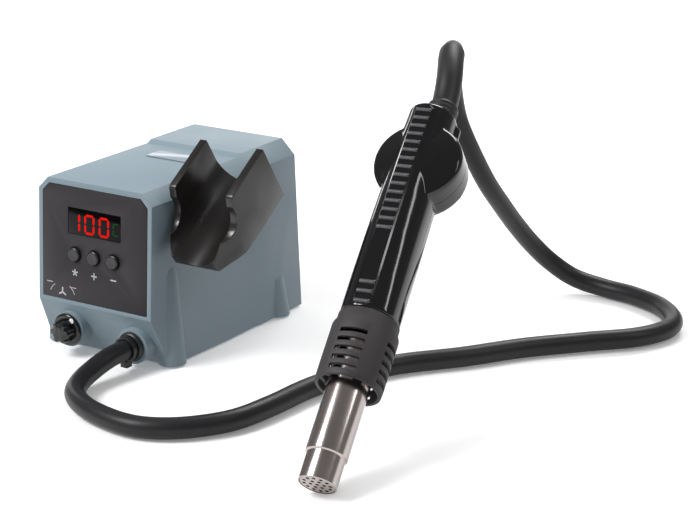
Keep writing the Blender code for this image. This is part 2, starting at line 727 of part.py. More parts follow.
def control_board(face):
    green = material("circuit_board", (0.02, 0.16, 0.07), 0.45)
    low, high = PANEL_LOW + 16 * MM, PANEL_HIGH - 6 * MM
    half = PANEL_HALF - 5 * MM
    solid("control_board", block((-half, BOARD_BACK, low), (half, BOARD_BACK + BOARD_THICK, high)), green,
          face)


# ---------------------------------------------------------------- airflow knob


def lobed(radius, flute, lobes, points=36):
    """Outline of a grip with hollow flutes between its lobes."""
    outline = []
    for i in range(points):
        a = 2 * math.pi * i / points
        r = radius - flute * (1 - math.cos(lobes * a)) / 2
        outline.append((r * math.cos(a), r * math.sin(a)))
    return outline


def airflow_knob(station):
    """Knob and shaft turn on the axis of the potentiometer, which the nut holds in the boss."""
    black = material("knob_plastic", (0.015, 0.015, 0.016), 0.25)
    bright = material("shaft_steel", (0.6, 0.6, 0.6), 0.3, 1.0)
    axis = empty("knob_axis", station, (KNOB_X, 0, KNOB_Z))
    back = -RUNNING_GAP
    skirt_front = back - SKIRT_THICK
    front = skirt_front - GRIP_LENGTH
    grip = loft([[placed(u * k, v * k, y, "Y") for u, v in lobed(GRIP_RADIUS, GRIP_FLUTE, GRIP_LOBES)]
                 for y, k in ((front, 0.9), (front + 0.8 * MM, 1.0), (skirt_front + 1 * MM, 1.08))])
    knob = solid("airflow_knob", grip, black, axis)
    rim = SKIRT_RADIUS
    profile = ((0, back), (rim, back), (rim, skirt_front + 0.8 * MM), (rim - 1 * MM, skirt_front),
               (0, skirt_front))
    skirt = solid("knob_skirt", turned(profile, 32, "Y"), None, axis)
    combine(knob, "UNION", skirt)
    nut_front = -3.2 * MM
    room = nut_front - RUNNING_GAP
    profile = ((0, front + 2 * MM), (SHAFT_RADIUS + GAP, front + 2 * MM), (SHAFT_RADIUS + GAP, room),
               (BUSHING_RADIUS + 2.2 * MM, room), (BUSHING_RADIUS + 2.2 * MM, OVERCUT), (0, OVERCUT))
    bore = turned(profile, 24, "Y")
    combine(knob, "DIFFERENCE", solid("knob_bore", bore, None, axis))
    body_front = BOSS_DEPTH + GAP
    shaft_back = body_front + 2 * MM
    solid("knob_shaft", round_bar(SHAFT_RADIUS, front + 2 * MM + GAP, shaft_back, "Y", 20), bright, axis,
          smooth=True)
    inner = SHAFT_RADIUS + 0.1 * MM
    profile = ((BUSHING_RADIUS, nut_front), (BUSHING_RADIUS, body_front), (POT_RADIUS, body_front),
               (POT_RADIUS, body_front + POT_DEPTH), (0, body_front + POT_DEPTH), (0, shaft_back + GAP),
               (inner, shaft_back + GAP), (inner, nut_front))
    solid("potentiometer", turned_capped(profile, 28, "Y"), bright, station, (KNOB_X, 0, KNOB_Z), smooth=True)
    nut = [(u, v) for u, v in circle(BUSHING_RADIUS + 1.9 * MM, 6)]
    ring = solid("potentiometer_nut", extruded(nut, nut_front + 0.6 * MM, back + 0.1 * MM, "Y"), bright,
                 station, (KNOB_X, 0, KNOB_Z))
    hole = round_bar(BUSHING_RADIUS + GAP, -OVERCUT - 4 * MM, OVERCUT, "Y", 20)
    combine(ring, "DIFFERENCE", solid("nut_hole", hole, None, station, (KNOB_X, 0, KNOB_Z)))


def turned_capped(profile, sides, axis):
    """A turned cup: the profile meets the axis at two neighbouring points, inside its closed end."""
    start = next(i for i, (radius, _) in enumerate(profile) if radius < 1e-7)
    order = profile[start + 1:] + profile[:start + 1]
    return turned(order, sides, axis)


# ---------------------------------------------------------------- hose gland, tie and hose


def gland(station):
    black = material("gland_nylon", (0.02, 0.02, 0.02), 0.5)
    bore = HOSE_RADIUS + RUNNING_GAP
    front, back = -GLAND_PROUD, BOSS_DEPTH + GLAND_NUT_THICK + 1 * MM
    profile = ((GLAND_RADIUS - 1.2 * MM, front), (GLAND_RADIUS, front + 1.2 * MM), (GLAND_RADIUS, -GAP),
               (GLAND_SLEEVE, -GAP), (GLAND_SLEEVE, back), (bore, back), (bore, front))
    solid("hose_gland", turned(profile, 32, "Y"), black, station, (GLAND_X, 0, GLAND_Z), smooth=True)
    nut = extruded(circle(GLAND_NUT_RADIUS, 6), BOSS_DEPTH + GAP, BOSS_DEPTH + GAP + GLAND_NUT_THICK, "Y")
    nut = solid("hose_gland_nut", nut, black, station, (GLAND_X, 0, GLAND_Z + 1 * MM))
    hole = round_bar(GLAND_SLEEVE + GAP, 0, BOSS_DEPTH + 12 * MM, "Y", 28)
    combine(nut, "DIFFERENCE", solid("gland_nut_hole", hole, None, station, (GLAND_X, 0, GLAND_Z)))
    inner = HOSE_RADIUS + RUNNING_GAP
    band = tube(inner + TIE_THICK, inner, -TIE_PLACE - TIE_WIDTH / 2, -TIE_PLACE + TIE_WIDTH / 2, "Y", 32)
    tie = solid("hose_tie", band, material("tie_nylon", (0.02, 0.02, 0.02), 0.4), station,
                (GLAND_X, 0, GLAND_Z))
    head_half = 2.6 * MM
    head = block((-head_half, -TIE_PLACE - head_half, -inner - TIE_THICK - 3.4 * MM),
                 (head_half, -TIE_PLACE + head_half, -inner - 0.5 * MM))
    combine(tie, "UNION", solid("tie_head", head, None, station, (GLAND_X, 0, GLAND_Z)))


def hose_way(tail):
    """The air hose's way, from inside the gland over the floor and up into the boot at the handset's tail."""
    first = [Vector((GLAND_X, y, GLAND_Z)) for y in (1 * MM, -5 * MM, -11 * MM)]
    lift = Vector((0, 0, HOSE_LIE))
    return smooth_way(first + [Vector(p) * MM + lift for p in HOSE_ROUTE] + tail, HOSE_POINTS)


def hose(station, way):
    rubber = material("hose_rubber", (0.02, 0.02, 0.02), 0.45)
    return bar_on_way("hose", way, HOSE_RADIUS, 2, rubber, station)


# ---------------------------------------------------------------- handset holder


def holder_frame(station):
    """Origin at the lower rear corner of the left ear, Y up along the channel and Z square to it."""
    y, z = HOLDER_CORNER
    return empty("holder_frame", station, (HOLDER_LEFT, y, z), (HOLDER_TILT, 0, 0))


def holder_pad_centre():
    """Middle of the pad on the housing, behind the middle of the ear."""
    along, up = -PAD_PLACE[0], PAD_PLACE[1]
    y, z = HOLDER_CORNER
    c, s = math.cos(HOLDER_TILT), math.sin(HOLDER_TILT)
    return y + along * c - up * s, z + along * s + up * c


def pad_screws():
    y, z = holder_pad_centre()
    half = PAD_SCREW_SPAN / 2
    return [(y + half * math.cos(HOLDER_TILT) * k, z + half * math.sin(HOLDER_TILT) * k) for k in (-1, 1)]


def holder(station):
    black = material("holder_plastic", (0.03, 0.027, 0.027), 0.35)
    frame = holder_frame(station)
    place, height, radius = HOLDER_NOTCH
    corner = 3 * MM
    top_round = circle(corner, 4, (-HOLDER_TOP + corner, HOLDER_EAR - corner), math.pi / 2, math.pi / 2)
    start = math.radians(12)
    notch = circle(radius, 11, (-place, height), start, -math.radians(118) - start)
    belly = [(-HOLDER_REACH * 0.66, 0.5 * MM), (-HOLDER_REACH * 0.5, 0.0)]
    outline = [(0.0, 0.0), (0.0, HOLDER_EAR)] + top_round + notch + list(HOLDER_LIP) + belly
    cradle = solid("holder_cradle", extruded(outline, 0, HOLDER_OUTER, "X"), black, frame)
    inner_half = HOLDER_OUTER / 2 - HOLDER_WALL
    middle = HOLDER_OUTER / 2
    arc = circle(inner_half, 17, (middle, HOLDER_FLOOR + inner_half), math.pi, math.pi)
    top = HOLDER_EAR + OVERCUT
    channel = [(middle - inner_half, top)] + arc + [(middle + inner_half, top)]
    cutter = extruded(channel, -HOLDER_REACH - OVERCUT * 2, OVERCUT, "Y")
    combine(cradle, "DIFFERENCE", solid("holder_channel", cutter, None, frame))
    for side, x in ((-1, 0.0), (1, HOLDER_OUTER)):
        edge = [(x - side * drawn, along) for along, drawn in HOLDER_TAPER]
        outside = [(x + side * OVERCUT, HOLDER_TAPER[-1][0]), (x + side * OVERCUT, HOLDER_TAPER[0][0])]
        cutter = extruded(edge + outside, -OVERCUT, HOLDER_EAR + OVERCUT, "Z")
        combine(cradle, "DIFFERENCE", solid(f"holder_taper_{side}", cutter, None, frame))
    holes = []
    for y, z in pad_screws():
        bar = round_bar(SCREW_RADIUS + GAP, HOLDER_LEFT - OVERCUT, HOLDER_LEFT + HOLDER_SCREW_DEPTH, "X", 16,
                        (y, z))
        holes.append(solid(f"holder_hole_{len(holes)}", bar, None, station))
    magnet_low = HOLDER_FLOOR * 0.25
    magnet_high = HOLDER_FLOOR * 0.7
    half, rear = MAGNET_SIZE / 2, -MAGNET_PLACE
    seat = block((middle - half - GAP, rear - MAGNET_SIZE - GAP, -OVERCUT),
                 (middle + half + GAP, rear + GAP, magnet_high))
    holes.append(solid("magnet_seat", seat, None, frame))
    combine(cradle, "DIFFERENCE", *holes)
    zinc = material("screw_zinc", (0.55, 0.55, 0.56), 0.35, 1.0)
    pad_inner = FRONT_HALF - WALL - GAP
    end = HOLDER_LEFT + HOLDER_SCREW_DEPTH - GAP
    profile = ((0, pad_inner - 2 * MM), (SCREW_HEAD, pad_inner - 2 * MM), (SCREW_HEAD, pad_inner),
               (SCREW_RADIUS, pad_inner), (SCREW_RADIUS, end), (0, end))
    for number, (y, z) in enumerate(pad_screws(), 1):
        solid(f"holder_screw_{number}", turned(profile, 12, "X"), zinc, station, (0, y, z), smooth=True)
    magnet = block((middle - half, rear - MAGNET_SIZE, magnet_low), (middle + half, rear, magnet_high - GAP))
    solid("holder_magnet", magnet, material("magnet_nickel", (0.6, 0.6, 0.6), 0.2, 1.0), frame)


# ---------------------------------------------------------------- rear panel, inlet and switch


def rear_panel(station):
    black = material("rear_plastic", (0.03, 0.03, 0.032), 0.45)
    y1 = STATION_DEPTH - REAR_PANEL_INSET
    y0 = y1 - REAR_PANEL_THICK
    inset = WALL + 2 * GAP
    low, top = PLATE_LOW + PLATE + GAP, FRONT_HEIGHT + STEP_HEIGHT - inset
    bottom = FOOT_HALF + STEP_SIDE - inset
    lift = (low - RIM_HEIGHT) / (FRONT_HEIGHT + STEP_HEIGHT - REAR_CHAMFER - RIM_HEIGHT)
    upper = REAR_HALF - inset
    corner = bottom + (upper - bottom) * lift
    cut = REAR_CHAMFER - inset * (math.sqrt(2) - 1) ** 2
    outline = [(-corner, low), (corner, low), (upper, top - cut), (upper - cut, top), (-upper + cut, top),
               (-upper, top - cut)]
    panel = solid("rear_panel", extruded(outline, y0, y1, "Y"), black, station)
    front, rear = y0 - OVERCUT, y1 + OVERCUT
    half_x, half_z = INLET_HALF[0] + GAP, INLET_HALF[1] + GAP
    inlet = block((INLET_X - half_x, front, INLET_Z - half_z), (INLET_X + half_x, rear, INLET_Z + half_z))
    half_x, half_z = [half + SWITCH_BODY_EDGE + GAP for half in ROCKER_HALF]
    rocker = block((ROCKER_X - half_x, front, ROCKER_Z - half_z),
                   (ROCKER_X + half_x, rear, ROCKER_Z + half_z))
    fuse = round_bar(FUSE_RADIUS + 0.2 * MM + GAP, front, rear, "Y", 20, (INLET_X, FUSE_Z))
    holes = [solid("inlet_cut", inlet, None, station), solid("rocker_cut", rocker, None, station),
             solid("fuse_cut", fuse, None, station)]
    for index in range(REAR_VENTS):
        x = REAR_VENT_START + index * REAR_VENT_PITCH
        slot = block((x - REAR_VENT_HALF, front, REAR_VENT_SPAN[0]),
                     (x + REAR_VENT_HALF, rear, REAR_VENT_SPAN[1]))
        holes.append(solid(f"rear_vent_{index}", slot, None, station))
    combine(panel, "DIFFERENCE", *holes)
    return y0, y1


def power_inlet(station, y1):
    black = material("inlet_plastic", (0.02, 0.02, 0.02), 0.5)
    half_x, half_z = INLET_HALF
    body = solid("power_inlet",
                 block((INLET_X - half_x, y1 + GAP - INLET_DEPTH, INLET_Z - half_z),
                       (INLET_X + half_x, y1 + GAP + 0.5 * MM, INLET_Z + half_z)), black, station)
    flange = block((INLET_X - half_x - INLET_FLANGE, y1 + GAP, INLET_Z - half_z - INLET_FLANGE),
                   (INLET_X + half_x + INLET_FLANGE, y1 + GAP + 2 * MM, INLET_Z + half_z + INLET_FLANGE))
    combine(body, "UNION", solid("inlet_flange", flange, None, station))
    sx, sz = SOCKET_HALF
    cut = 3.5 * MM
    outline = [(-sx, -sz), (sx, -sz), (sx, sz - cut), (sx - cut, sz), (-sx + cut, sz), (-sx, sz - cut)]
    outline = [(INLET_X + u, INLET_Z + v) for u, v in outline]
    mouth = y1 + GAP + 2 * MM
    socket = solid("inlet_socket", extruded(outline, mouth - SOCKET_DEPTH, mouth + OVERCUT, "Y"), None,
                   station)
    combine(body, "DIFFERENCE", socket)
    pins = []
    brass = material("pin_brass", (0.7, 0.55, 0.3), 0.25, 1.0)
    floor = mouth - SOCKET_DEPTH
    half_x, half_z = PIN_HALF
    behind, out = PIN_REACH
    for name, dx, dz in (("live", -PIN_PITCH, -PIN_OFFSET), ("neutral", PIN_PITCH, -PIN_OFFSET),
                         ("earth", 0, PIN_OFFSET)):
        x, z = INLET_X + dx, INLET_Z + dz
        slot = block((x - half_x - GAP, floor - OVERCUT * 3, z - half_z - GAP),
                     (x + half_x + GAP, floor + OVERCUT, z + half_z + GAP))
        pins.append(solid(f"{name}_slot", slot, None, station))
        pin = block((x - half_x, floor - behind, z - half_z), (x + half_x, floor + out, z + half_z))
        solid(f"inlet_pin_{name}", pin, brass, station)
    combine(body, "DIFFERENCE", *pins)
    profile = ((0, y1 - FUSE_DEPTH), (FUSE_RADIUS, y1 - FUSE_DEPTH), (FUSE_RADIUS, y1 + GAP),
               (FUSE_CAP, y1 + GAP), (FUSE_CAP, y1 + 1.5 * MM), (FUSE_RADIUS, y1 + 3 * MM), (0, y1 + 3 * MM))
    solid("fuse_holder", turned(profile, 24, "Y"), black, station, (INLET_X, 0, FUSE_Z), smooth=True)


def power_switch(station, y1):
    """A rocker that tips about a cross axis inside its frame."""
    black = material("inlet_plastic", (0.02, 0.02, 0.02), 0.5)
    half_x, half_z = ROCKER_HALF
    edge = ROCKER_FRAME
    frame = solid("switch_frame",
                  block((ROCKER_X - half_x - edge, y1 + GAP, ROCKER_Z - half_z - edge),
                        (ROCKER_X + half_x + edge, y1 + GAP + 2 * MM,
                         ROCKER_Z + half_z + edge)), black, station)
    inner_x, inner_z = half_x + SWITCH_BODY_EDGE, half_z + SWITCH_BODY_EDGE
    body = block((ROCKER_X - inner_x, y1 - ROCKER_BODY_DEPTH, ROCKER_Z - inner_z),
                 (ROCKER_X + inner_x, y1 + 1 * MM, ROCKER_Z + inner_z))
    combine(frame, "UNION", solid("switch_body", body, None, station))
    pocket = block((ROCKER_X - half_x, y1 - 7.5 * MM, ROCKER_Z - half_z),
                   (ROCKER_X + half_x, y1 + OVERCUT, ROCKER_Z + half_z))
    combine(frame, "DIFFERENCE", solid("switch_pocket", pocket, None, station))
    axis = empty("rocker_axis", station, (ROCKER_X, y1 - 1.5 * MM, ROCKER_Z), (ROCKER_SWING, 0, 0))
    wing = half_z - 0.9 * MM
    outline = [(-4.2 * MM, -wing + 1.5 * MM), (-4.2 * MM, wing - 1.5 * MM), (2.2 * MM, wing),
               (5.0 * MM, wing - 0.6 * MM), (3.6 * MM, 0), (5.0 * MM, -wing + 0.6 * MM), (2.2 * MM, -wing)]
    reach = half_x - RUNNING_GAP
    solid("power_rocker", extruded(outline, -reach, reach, "X"),
          material("rocker_red", (0.5, 0.02, 0.015), 0.3), axis)


# ---------------------------------------------------------------- boards inside the station


def power_parts(station):
    green = material("circuit_board", (0.02, 0.16, 0.07), 0.45)
    low = PLATE_LOW + PLATE + BOARD_RAISE
    half, front, rear = BOARD_SPAN
    board = block((-half, front, low), (half, rear, low + BOARD_THICK))
    solid("power_board", board, green, station)
    top = low + BOARD_THICK + GAP
    core = material("transformer_core", (0.08, 0.08, 0.085), 0.5)
    (x0, front), (x1, rear) = IRON_SPAN
    iron = solid("transformer", block((x0, front, top), (x1, rear, top + IRON_HEIGHT)), core, station)
    winding = block((x0 + WINDING_INSET, front - WINDING_REACH, top + 4 * MM),
                    (x1 - WINDING_INSET, rear + WINDING_REACH, top + IRON_HEIGHT - 4 * MM))
    combine(iron, "UNION", solid("winding", winding, None, station))
    alloy = material("heat_sink_alloy", (0.6, 0.6, 0.62), 0.35, 1.0)
    front, rear = SINK_SPAN
    back = block((SINK_X, front, top), (SINK_X + SINK_PLATE, rear, top + SINK_HEIGHT))
    sink = solid("heat_sink", back, alloy, station)
    fins = []
    for index in range(SINK_FINS):
        y = front + 2 * MM + index * SINK_FIN_PITCH
        fin = block((SINK_X + 2 * MM, y, top), (SINK_X + SINK_FIN_REACH, y + 2 * MM, top + SINK_HEIGHT))
        fins.append(solid(f"sink_fin_{index}", fin, None, station))
    combine(sink, "UNION", *fins)


def label_plate(station):
    clear = material("label_film", (0.62, 0.68, 0.72), 0.15)
    top = FRONT_HEIGHT + GAP
    solid("top_label", block((*LABEL_LOW, top), (*LABEL_HIGH, top + LABEL_THICK)), clear, station)


# ---------------------------------------------------------------- handset


def handset_frame(station):
    height = SEAT_RADIUS * math.cos(HANDSET_RISE)
    return empty("handset_frame", station, (NOZZLE_X, NOZZLE_Y, height),
                 (HANDSET_RISE - math.pi / 2, 0, HANDSET_HEADING))


def oval(half_width, half_depth, along, points=28):
    """A rounded-box section, fuller than an ellipse."""
    ring = []
    for i in range(points):
        a = 2 * math.pi * i / points
        c, s = math.cos(a), math.sin(a)
        ring.append((half_width * math.copysign(abs(c) ** (2 / OVAL_POWER), c),
                     half_depth * math.copysign(abs(s) ** (2 / OVAL_POWER), s), along))
    return ring


def handle_rings(inset=0.0):
    """Sections of the handle from the guard to the rounded tail. With an inset they bound its hollow."""
    start = GUARD_END + GAP
    rings = []
    for place, half_width, half_depth in HANDLE_SECTIONS:
        rings.append(oval(half_width - inset, half_depth - inset, start + place))
    _, half_width, half_depth = HANDLE_SECTIONS[-1]
    last = HANDLE_END - inset
    if inset:
        rings[0] = oval(HANDLE_SECTIONS[0][1] - inset, HANDLE_SECTIONS[0][2] - inset, start - OVERCUT)
        rings.append(oval(half_width - inset, half_depth - inset, last))
        return rings
    for draw, along in zip(CROWN_DRAW, (last - HANDLE_CROWN * 0.35, last)):
        rings.append(oval(half_width - draw, half_depth - draw, along))
    return rings


def handle_depth(along):
    """Half-depth of the handle at a place along the handset."""
    start = GUARD_END + GAP
    for (z0, _, depth0), (z1, _, depth1) in zip(HANDLE_SECTIONS, HANDLE_SECTIONS[1:]):
        if along - start <= z1:
            return depth0 + (depth1 - depth0) * (along - start - z0) / (z1 - z0)
    return HANDLE_SECTIONS[-1][2]


def volute_profile(inset=0.0):
    rim, band = VOLUTE_RADIUS - inset, VOLUTE_BAND
    shoulder, dome = VOLUTE_SHOULDER, VOLUTE_DOME - inset
    half = [(0, dome), (rim * 0.45, dome - 0.6 * MM), (rim - shoulder, band + shoulder - inset),
            (rim - shoulder * 0.3, band + shoulder * 0.7 - inset), (rim, band - inset)]
    return half + [(r, -y) for r, y in reversed(half)]


def handle_shell(name, side, handset):
    """One half of the handle: the oval grip and the round blower housing, hollow, cut on the middle plane."""
    gloss = material("handle_plastic", (0.008, 0.008, 0.009), 0.12)
    shell = solid(name, loft(handle_rings()), gloss, handset, smooth=True)
    disc = solid(f"{name}_volute", turned(volute_profile(), 32, "Y"), None, handset,
                 (VOLUTE_X, 0, VOLUTE_PLACE))
    combine(shell, "UNION", disc)
    if side > 0:
        lug = round_bar(LUG_RADIUS, *LUG_REACH, "Z", 16, LUG_PLACE)
        combine(shell, "UNION", solid("hanging_lug", lug, None, handset))
    hollow = solid(f"{name}_hollow", loft(handle_rings(HANDLE_WALL)), None, handset)
    chamber = solid(f"{name}_chamber", turned(volute_profile(HANDLE_WALL), 32, "Y"), None, handset,
                    (VOLUTE_X, 0, VOLUTE_PLACE))
    combine(shell, "DIFFERENCE", hollow, chamber)
    tail = round_bar(BOOT_NECK + GAP, HANDLE_END - BOOT_SEAT - OVERCUT, HANDLE_END + OVERCUT, "Z", 24,
                     (TAIL_X, 0))
    reach = VOLUTE_RADIUS + VOLUTE_X + OVERCUT
    other = block((-reach, -GAP / 2 if side < 0 else -reach, GUARD_START),
                  (reach, reach if side < 0 else GAP / 2, HANDLE_END + OVERCUT))
    combine(shell, "DIFFERENCE", solid(f"{name}_tail_hole", tail, None, handset),
            solid(f"{name}_other_half", other, None, handset))
    return shell


def handle(handset):
    front = handle_shell("handle_front", -1, handset)
    back = handle_shell("handle_back", 1, handset)
    intake = round_bar(GRILLE_RADIUS + GAP, VOLUTE_BAND, VOLUTE_DOME + OVERCUT, "Y", 28)
    combine(back, "DIFFERENCE", solid("intake_hole", intake, None, handset, (VOLUTE_X, 0, VOLUTE_PLACE)))
    black = material("grille_plastic", (0.02, 0.02, 0.02), 0.5)
    y1 = VOLUTE_DOME - 0.8 * MM
    grille = solid("intake_grille", round_bar(GRILLE_RADIUS, y1 - GRILLE_THICK, y1, "Y", 28), black, handset,
                   (VOLUTE_X, 0, VOLUTE_PLACE))
    slots = []
    for index in range(-2, 3):
        z = index * GRILLE_SLOT_PITCH
        half = math.sqrt(GRILLE_RADIUS ** 2 - z ** 2) - 2.5 * MM
        slot = block((-half, y1 - OVERCUT, z - GRILLE_SLOT_HALF), (half, y1 + OVERCUT, z + GRILLE_SLOT_HALF))
        slots.append(solid(f"grille_slot_{index}", slot, None, handset, (VOLUTE_X, 0, VOLUTE_PLACE)))
    combine(grille, "DIFFERENCE", *slots)
    zinc = material("screw_zinc", (0.55, 0.55, 0.56), 0.35, 1.0)
    for number, place in enumerate(HANDLE_SCREWS, 1):
        along = GUARD_END + place
        depth = handle_depth(along) - HANDLE_WALL / 2
        seat = depth - HANDLE_SCREW_SEAT
        post = round_bar(SCREW_HEAD + 1.6 * MM, GAP, depth, "Y", 16, (0, along))
        hole = round_bar(SCREW_HEAD + GAP, seat, depth + OVERCUT * 2, "Y", 16, (0, along))
        pilot = round_bar(SCREW_RADIUS + GAP, -OVERCUT, depth, "Y", 16, (0, along))
        combine(back, "UNION", solid(f"screw_post_{number}", post, None, handset))
        combine(back, "DIFFERENCE", solid(f"screw_sink_{number}", hole, None, handset),
                solid(f"screw_pilot_{number}", pilot, None, handset))
        head_top = seat + 3 * MM
        profile = ((0, 3 * MM), (SCREW_RADIUS, 3 * MM), (SCREW_RADIUS, seat + GAP), (SCREW_HEAD, seat + GAP),
                   (SCREW_HEAD, head_top), (0, head_top))
        solid(f"handle_screw_{number}", turned(profile, 12, "Y"), zinc, handset, (0, 0, along), smooth=True)


def heat_guard(handset):
    """The slotted collar over the hot barrel, open at its lower end, with a web at its neck."""
    dark = material("guard_nylon", (0.05, 0.047, 0.05), 0.6)
    r, wall, neck = GUARD_RADIUS, GUARD_WALL, GUARD_NECK
    web = BARREL_RADIUS + GAP
    wide_end, neck_start = GUARD_END - GUARD_TAPER[0], GUARD_END - GUARD_TAPER[1]
    web_start = GUARD_END - WEB_THICK
    profile = ((r - 0.4 * MM, GUARD_START), (r, GUARD_START + 4 * MM), (r, wide_end), (neck, neck_start),
               (neck, GUARD_END), (web, GUARD_END), (web, web_start), (neck - wall, web_start),
               (neck - wall, neck_start - 1 * MM), (r - wall, wide_end - 1.5 * MM),
               (r - wall - 0.4 * MM, GUARD_START))
    guard = solid("heat_guard", turned(profile, 30), dark, handset, smooth=True)
    half = SLOT_LENGTH / 2
    slots = []
    for group in range(GUARD_GROUPS // 2):
        for index in range(GUARD_SLOTS):
            low = GUARD_START + SLOT_START + index * SLOT_PITCH
            corners = ((-half, -r - OVERCUT), (half, r + OVERCUT))
            (a0, b0), (a1, b1) = corners if group == 0 else [(b, a) for a, b in corners]
            slots.append(solid(f"guard_slot_{group}_{index}",
                               block((a0, b0, low), (a1, b1, low + SLOT_HEIGHT)), None, handset))
    combine(guard, "DIFFERENCE", *slots)


def barrel(handset):
    """The stainless barrel with its smaller nozzle seat, and the drilled disc in its end."""
    steel = material("barrel_steel", (0.62, 0.6, 0.58), 0.22, 1.0)
    seat, wide, wall = SEAT_RADIUS, BARREL_RADIUS, BARREL_WALL
    inner, bore = wide - wall, seat - wall
    profile = ((seat - 0.3 * MM, 0), (seat, 0.3 * MM), (seat, SEAT_LENGTH), (wide, SEAT_LENGTH + 0.8 * MM),
               (wide, BARREL_END), (inner, BARREL_END), (inner, SEAT_LENGTH + 1.2 * MM),
               (bore, SEAT_LENGTH + 0.4 * MM), (bore, 0))
    solid("nozzle_barrel", turned(profile, 32), steel, handset, smooth=True)
    disc_radius = bore - GAP
    disc = solid("nozzle_screen", round_bar(disc_radius, 0.2 * MM, 0.2 * MM + SCREEN_THICK, "Z", 24), steel,
                 handset)
    spots = [(0.0, 0.0)] + circle(SCREEN_PITCH, 6) + circle(SCREEN_PITCH * 1.95, 12)
    holes = [solid(f"screen_hole_{i}", round_bar(SCREEN_HOLE, -OVERCUT, OVERCUT, "Z", 6, spot), None,
                   handset) for i, spot in enumerate(spots)]
    combine(disc, "DIFFERENCE", *holes)


def heater(handset):
    """Ceramic cross former, its wire coil, and the mica sleeve inside the barrel."""
    low, high = HEATER_SPAN
    arm, web = HEATER_ARM
    cross = [(arm, -web), (arm, web), (web, web), (web, arm), (-web, arm), (-web, web), (-arm, web),
             (-arm, -web), (-web, -web), (-web, -arm), (web, -arm), (web, -web)]
    solid("heater_core", extruded(cross, low, high + 10 * MM),
          material("heater_ceramic", (0.8, 0.78, 0.7), 0.7), handset)
    inner = BARREL_RADIUS - BARREL_WALL - 2 * GAP
    sleeve = tube(inner, inner - 1 * MM, low - 4 * MM, high + 12 * MM, "Z", 28)
    solid("mica_sleeve", sleeve, material("mica_sheet", (0.5, 0.42, 0.3), 0.5), handset, smooth=True)
    per_turn = 10
    radius = arm + COIL_WIRE + 2 * GAP
    count = COIL_TURNS * per_turn
    way = []
    for i in range(count + 1):
        a = 2 * math.pi * i / per_turn
        along = low + 2 * MM + (high - low - 4 * MM) * i / count
        way.append((radius * math.cos(a), radius * math.sin(a), along))
    alloy = material("heater_wire", (0.45, 0.4, 0.36), 0.4, 1.0)
    bar_on_way("heater_coil", way, COIL_WIRE, 0, alloy, handset)


def blower(handset):
    """Motor on the front shell's side, and the impeller on its shaft, both on the volute's axis."""
    steel = material("motor_steel", (0.5, 0.5, 0.5), 0.35, 1.0)
    motor_front = -VOLUTE_DOME + HANDLE_WALL + 2 * MM
    motor_back = motor_front + MOTOR_LENGTH
    shaft = MOTOR_SHAFT
    impeller_low = motor_back + 1.5 * MM
    profile = ((0, motor_front), (MOTOR_RADIUS, motor_front), (MOTOR_RADIUS, motor_back),
               (shaft, motor_back), (shaft, impeller_low + 4 * MM), (0, impeller_low + 4 * MM))
    solid("blower_motor", turned(profile, 28, "Y"), steel, handset, (VOLUTE_X, 0, VOLUTE_PLACE), smooth=True)
    axis = empty("impeller_axis", handset, (VOLUTE_X, 0, VOLUTE_PLACE))
    hub, disc = IMPELLER_HUB, IMPELLER_DISC
    bore = shaft + 0.2 * MM
    impeller_high = impeller_low + IMPELLER_HEIGHT
    profile = ((bore, impeller_low), (IMPELLER_RADIUS, impeller_low), (IMPELLER_RADIUS, impeller_low + disc),
               (hub, impeller_low + disc), (hub, impeller_high), (bore, impeller_high))
    impeller = solid("blower_impeller", turned(profile, 33, "Y"),
                     material("impeller_plastic", (0.75, 0.75, 0.72), 0.4), axis)
    blades = []
    for index in range(IMPELLER_BLADES):
        turn = 2 * math.pi * index / IMPELLER_BLADES
        form = block((hub + 2 * MM, impeller_low + disc / 2, -IMPELLER_BLADE),
                     (IMPELLER_RADIUS - 0.5 * MM, impeller_high, IMPELLER_BLADE))
        bmesh.ops.transform(form, matrix=Matrix.Rotation(turn, 4, "Y"), verts=form.verts)
        blades.append(solid(f"blade_{index}", form, None, axis))
    combine(impeller, "UNION", *blades)


def handle_board(handset):
    green = material("circuit_board", (0.02, 0.16, 0.07), 0.45)
    low, high = BARREL_END + 26 * MM, VOLUTE_PLACE - VOLUTE_RADIUS - 2 * MM
    solid("handle_board", block((-8 * MM, -5 * MM, low), (8 * MM, -5 * MM + BOARD_THICK, high)), green,
          handset)
    reed = round_bar(1.4 * MM, low + 2 * MM, low + 14 * MM, "Z", 10, (0, -5 * MM - 1.4 * MM - GAP))
    solid("reed_switch", reed, material("reed_glass", (0.2, 0.5, 0.3), 0.1), handset, smooth=True)


def tail_boot(handset, way):
    """Rubber boot seated in the tail, which follows the first stretch of the hose."""
    rubber = material("boot_rubber", (0.02, 0.02, 0.021), 0.6)
    collar, length = BOOT_COLLAR
    seat = HANDLE_END - BOOT_SEAT
    end = HANDLE_END + length
    profile = ((0, seat), (BOOT_NECK, seat), (BOOT_NECK, HANDLE_END + GAP), (collar, HANDLE_END + GAP),
               (collar, HANDLE_END + 1.5 * MM), (BOOT_RADIUS - 0.1 * MM, end), (0, end))
    boot = solid("tail_boot", turned(profile, 22), rubber, handset, (TAIL_X, 0, 0), smooth=True)
    back = handset.matrix_basis.inverted()
    local = [back @ place for place in way]
    sleeve = [place for place in reach_along(local, BOOT_REACH) if place.z > HANDLE_END + 2 * MM]
    sleeve.append(Vector((TAIL_X, 0, HANDLE_END + 1 * MM)))
    combine(boot, "UNION", solid("boot_sleeve", swept(sleeve, BOOT_RADIUS, 20), None, handset))
    bore = reach_along(local, BOOT_REACH + 25 * MM)
    bore.append(bore[-1] + (bore[-1] - bore[-2]).normalized() * 12 * MM)
    bore = solid("boot_bore", swept(bore, HOSE_RADIUS + RUNNING_GAP, 20), None, handset)
    combine(boot, "DIFFERENCE", bore)


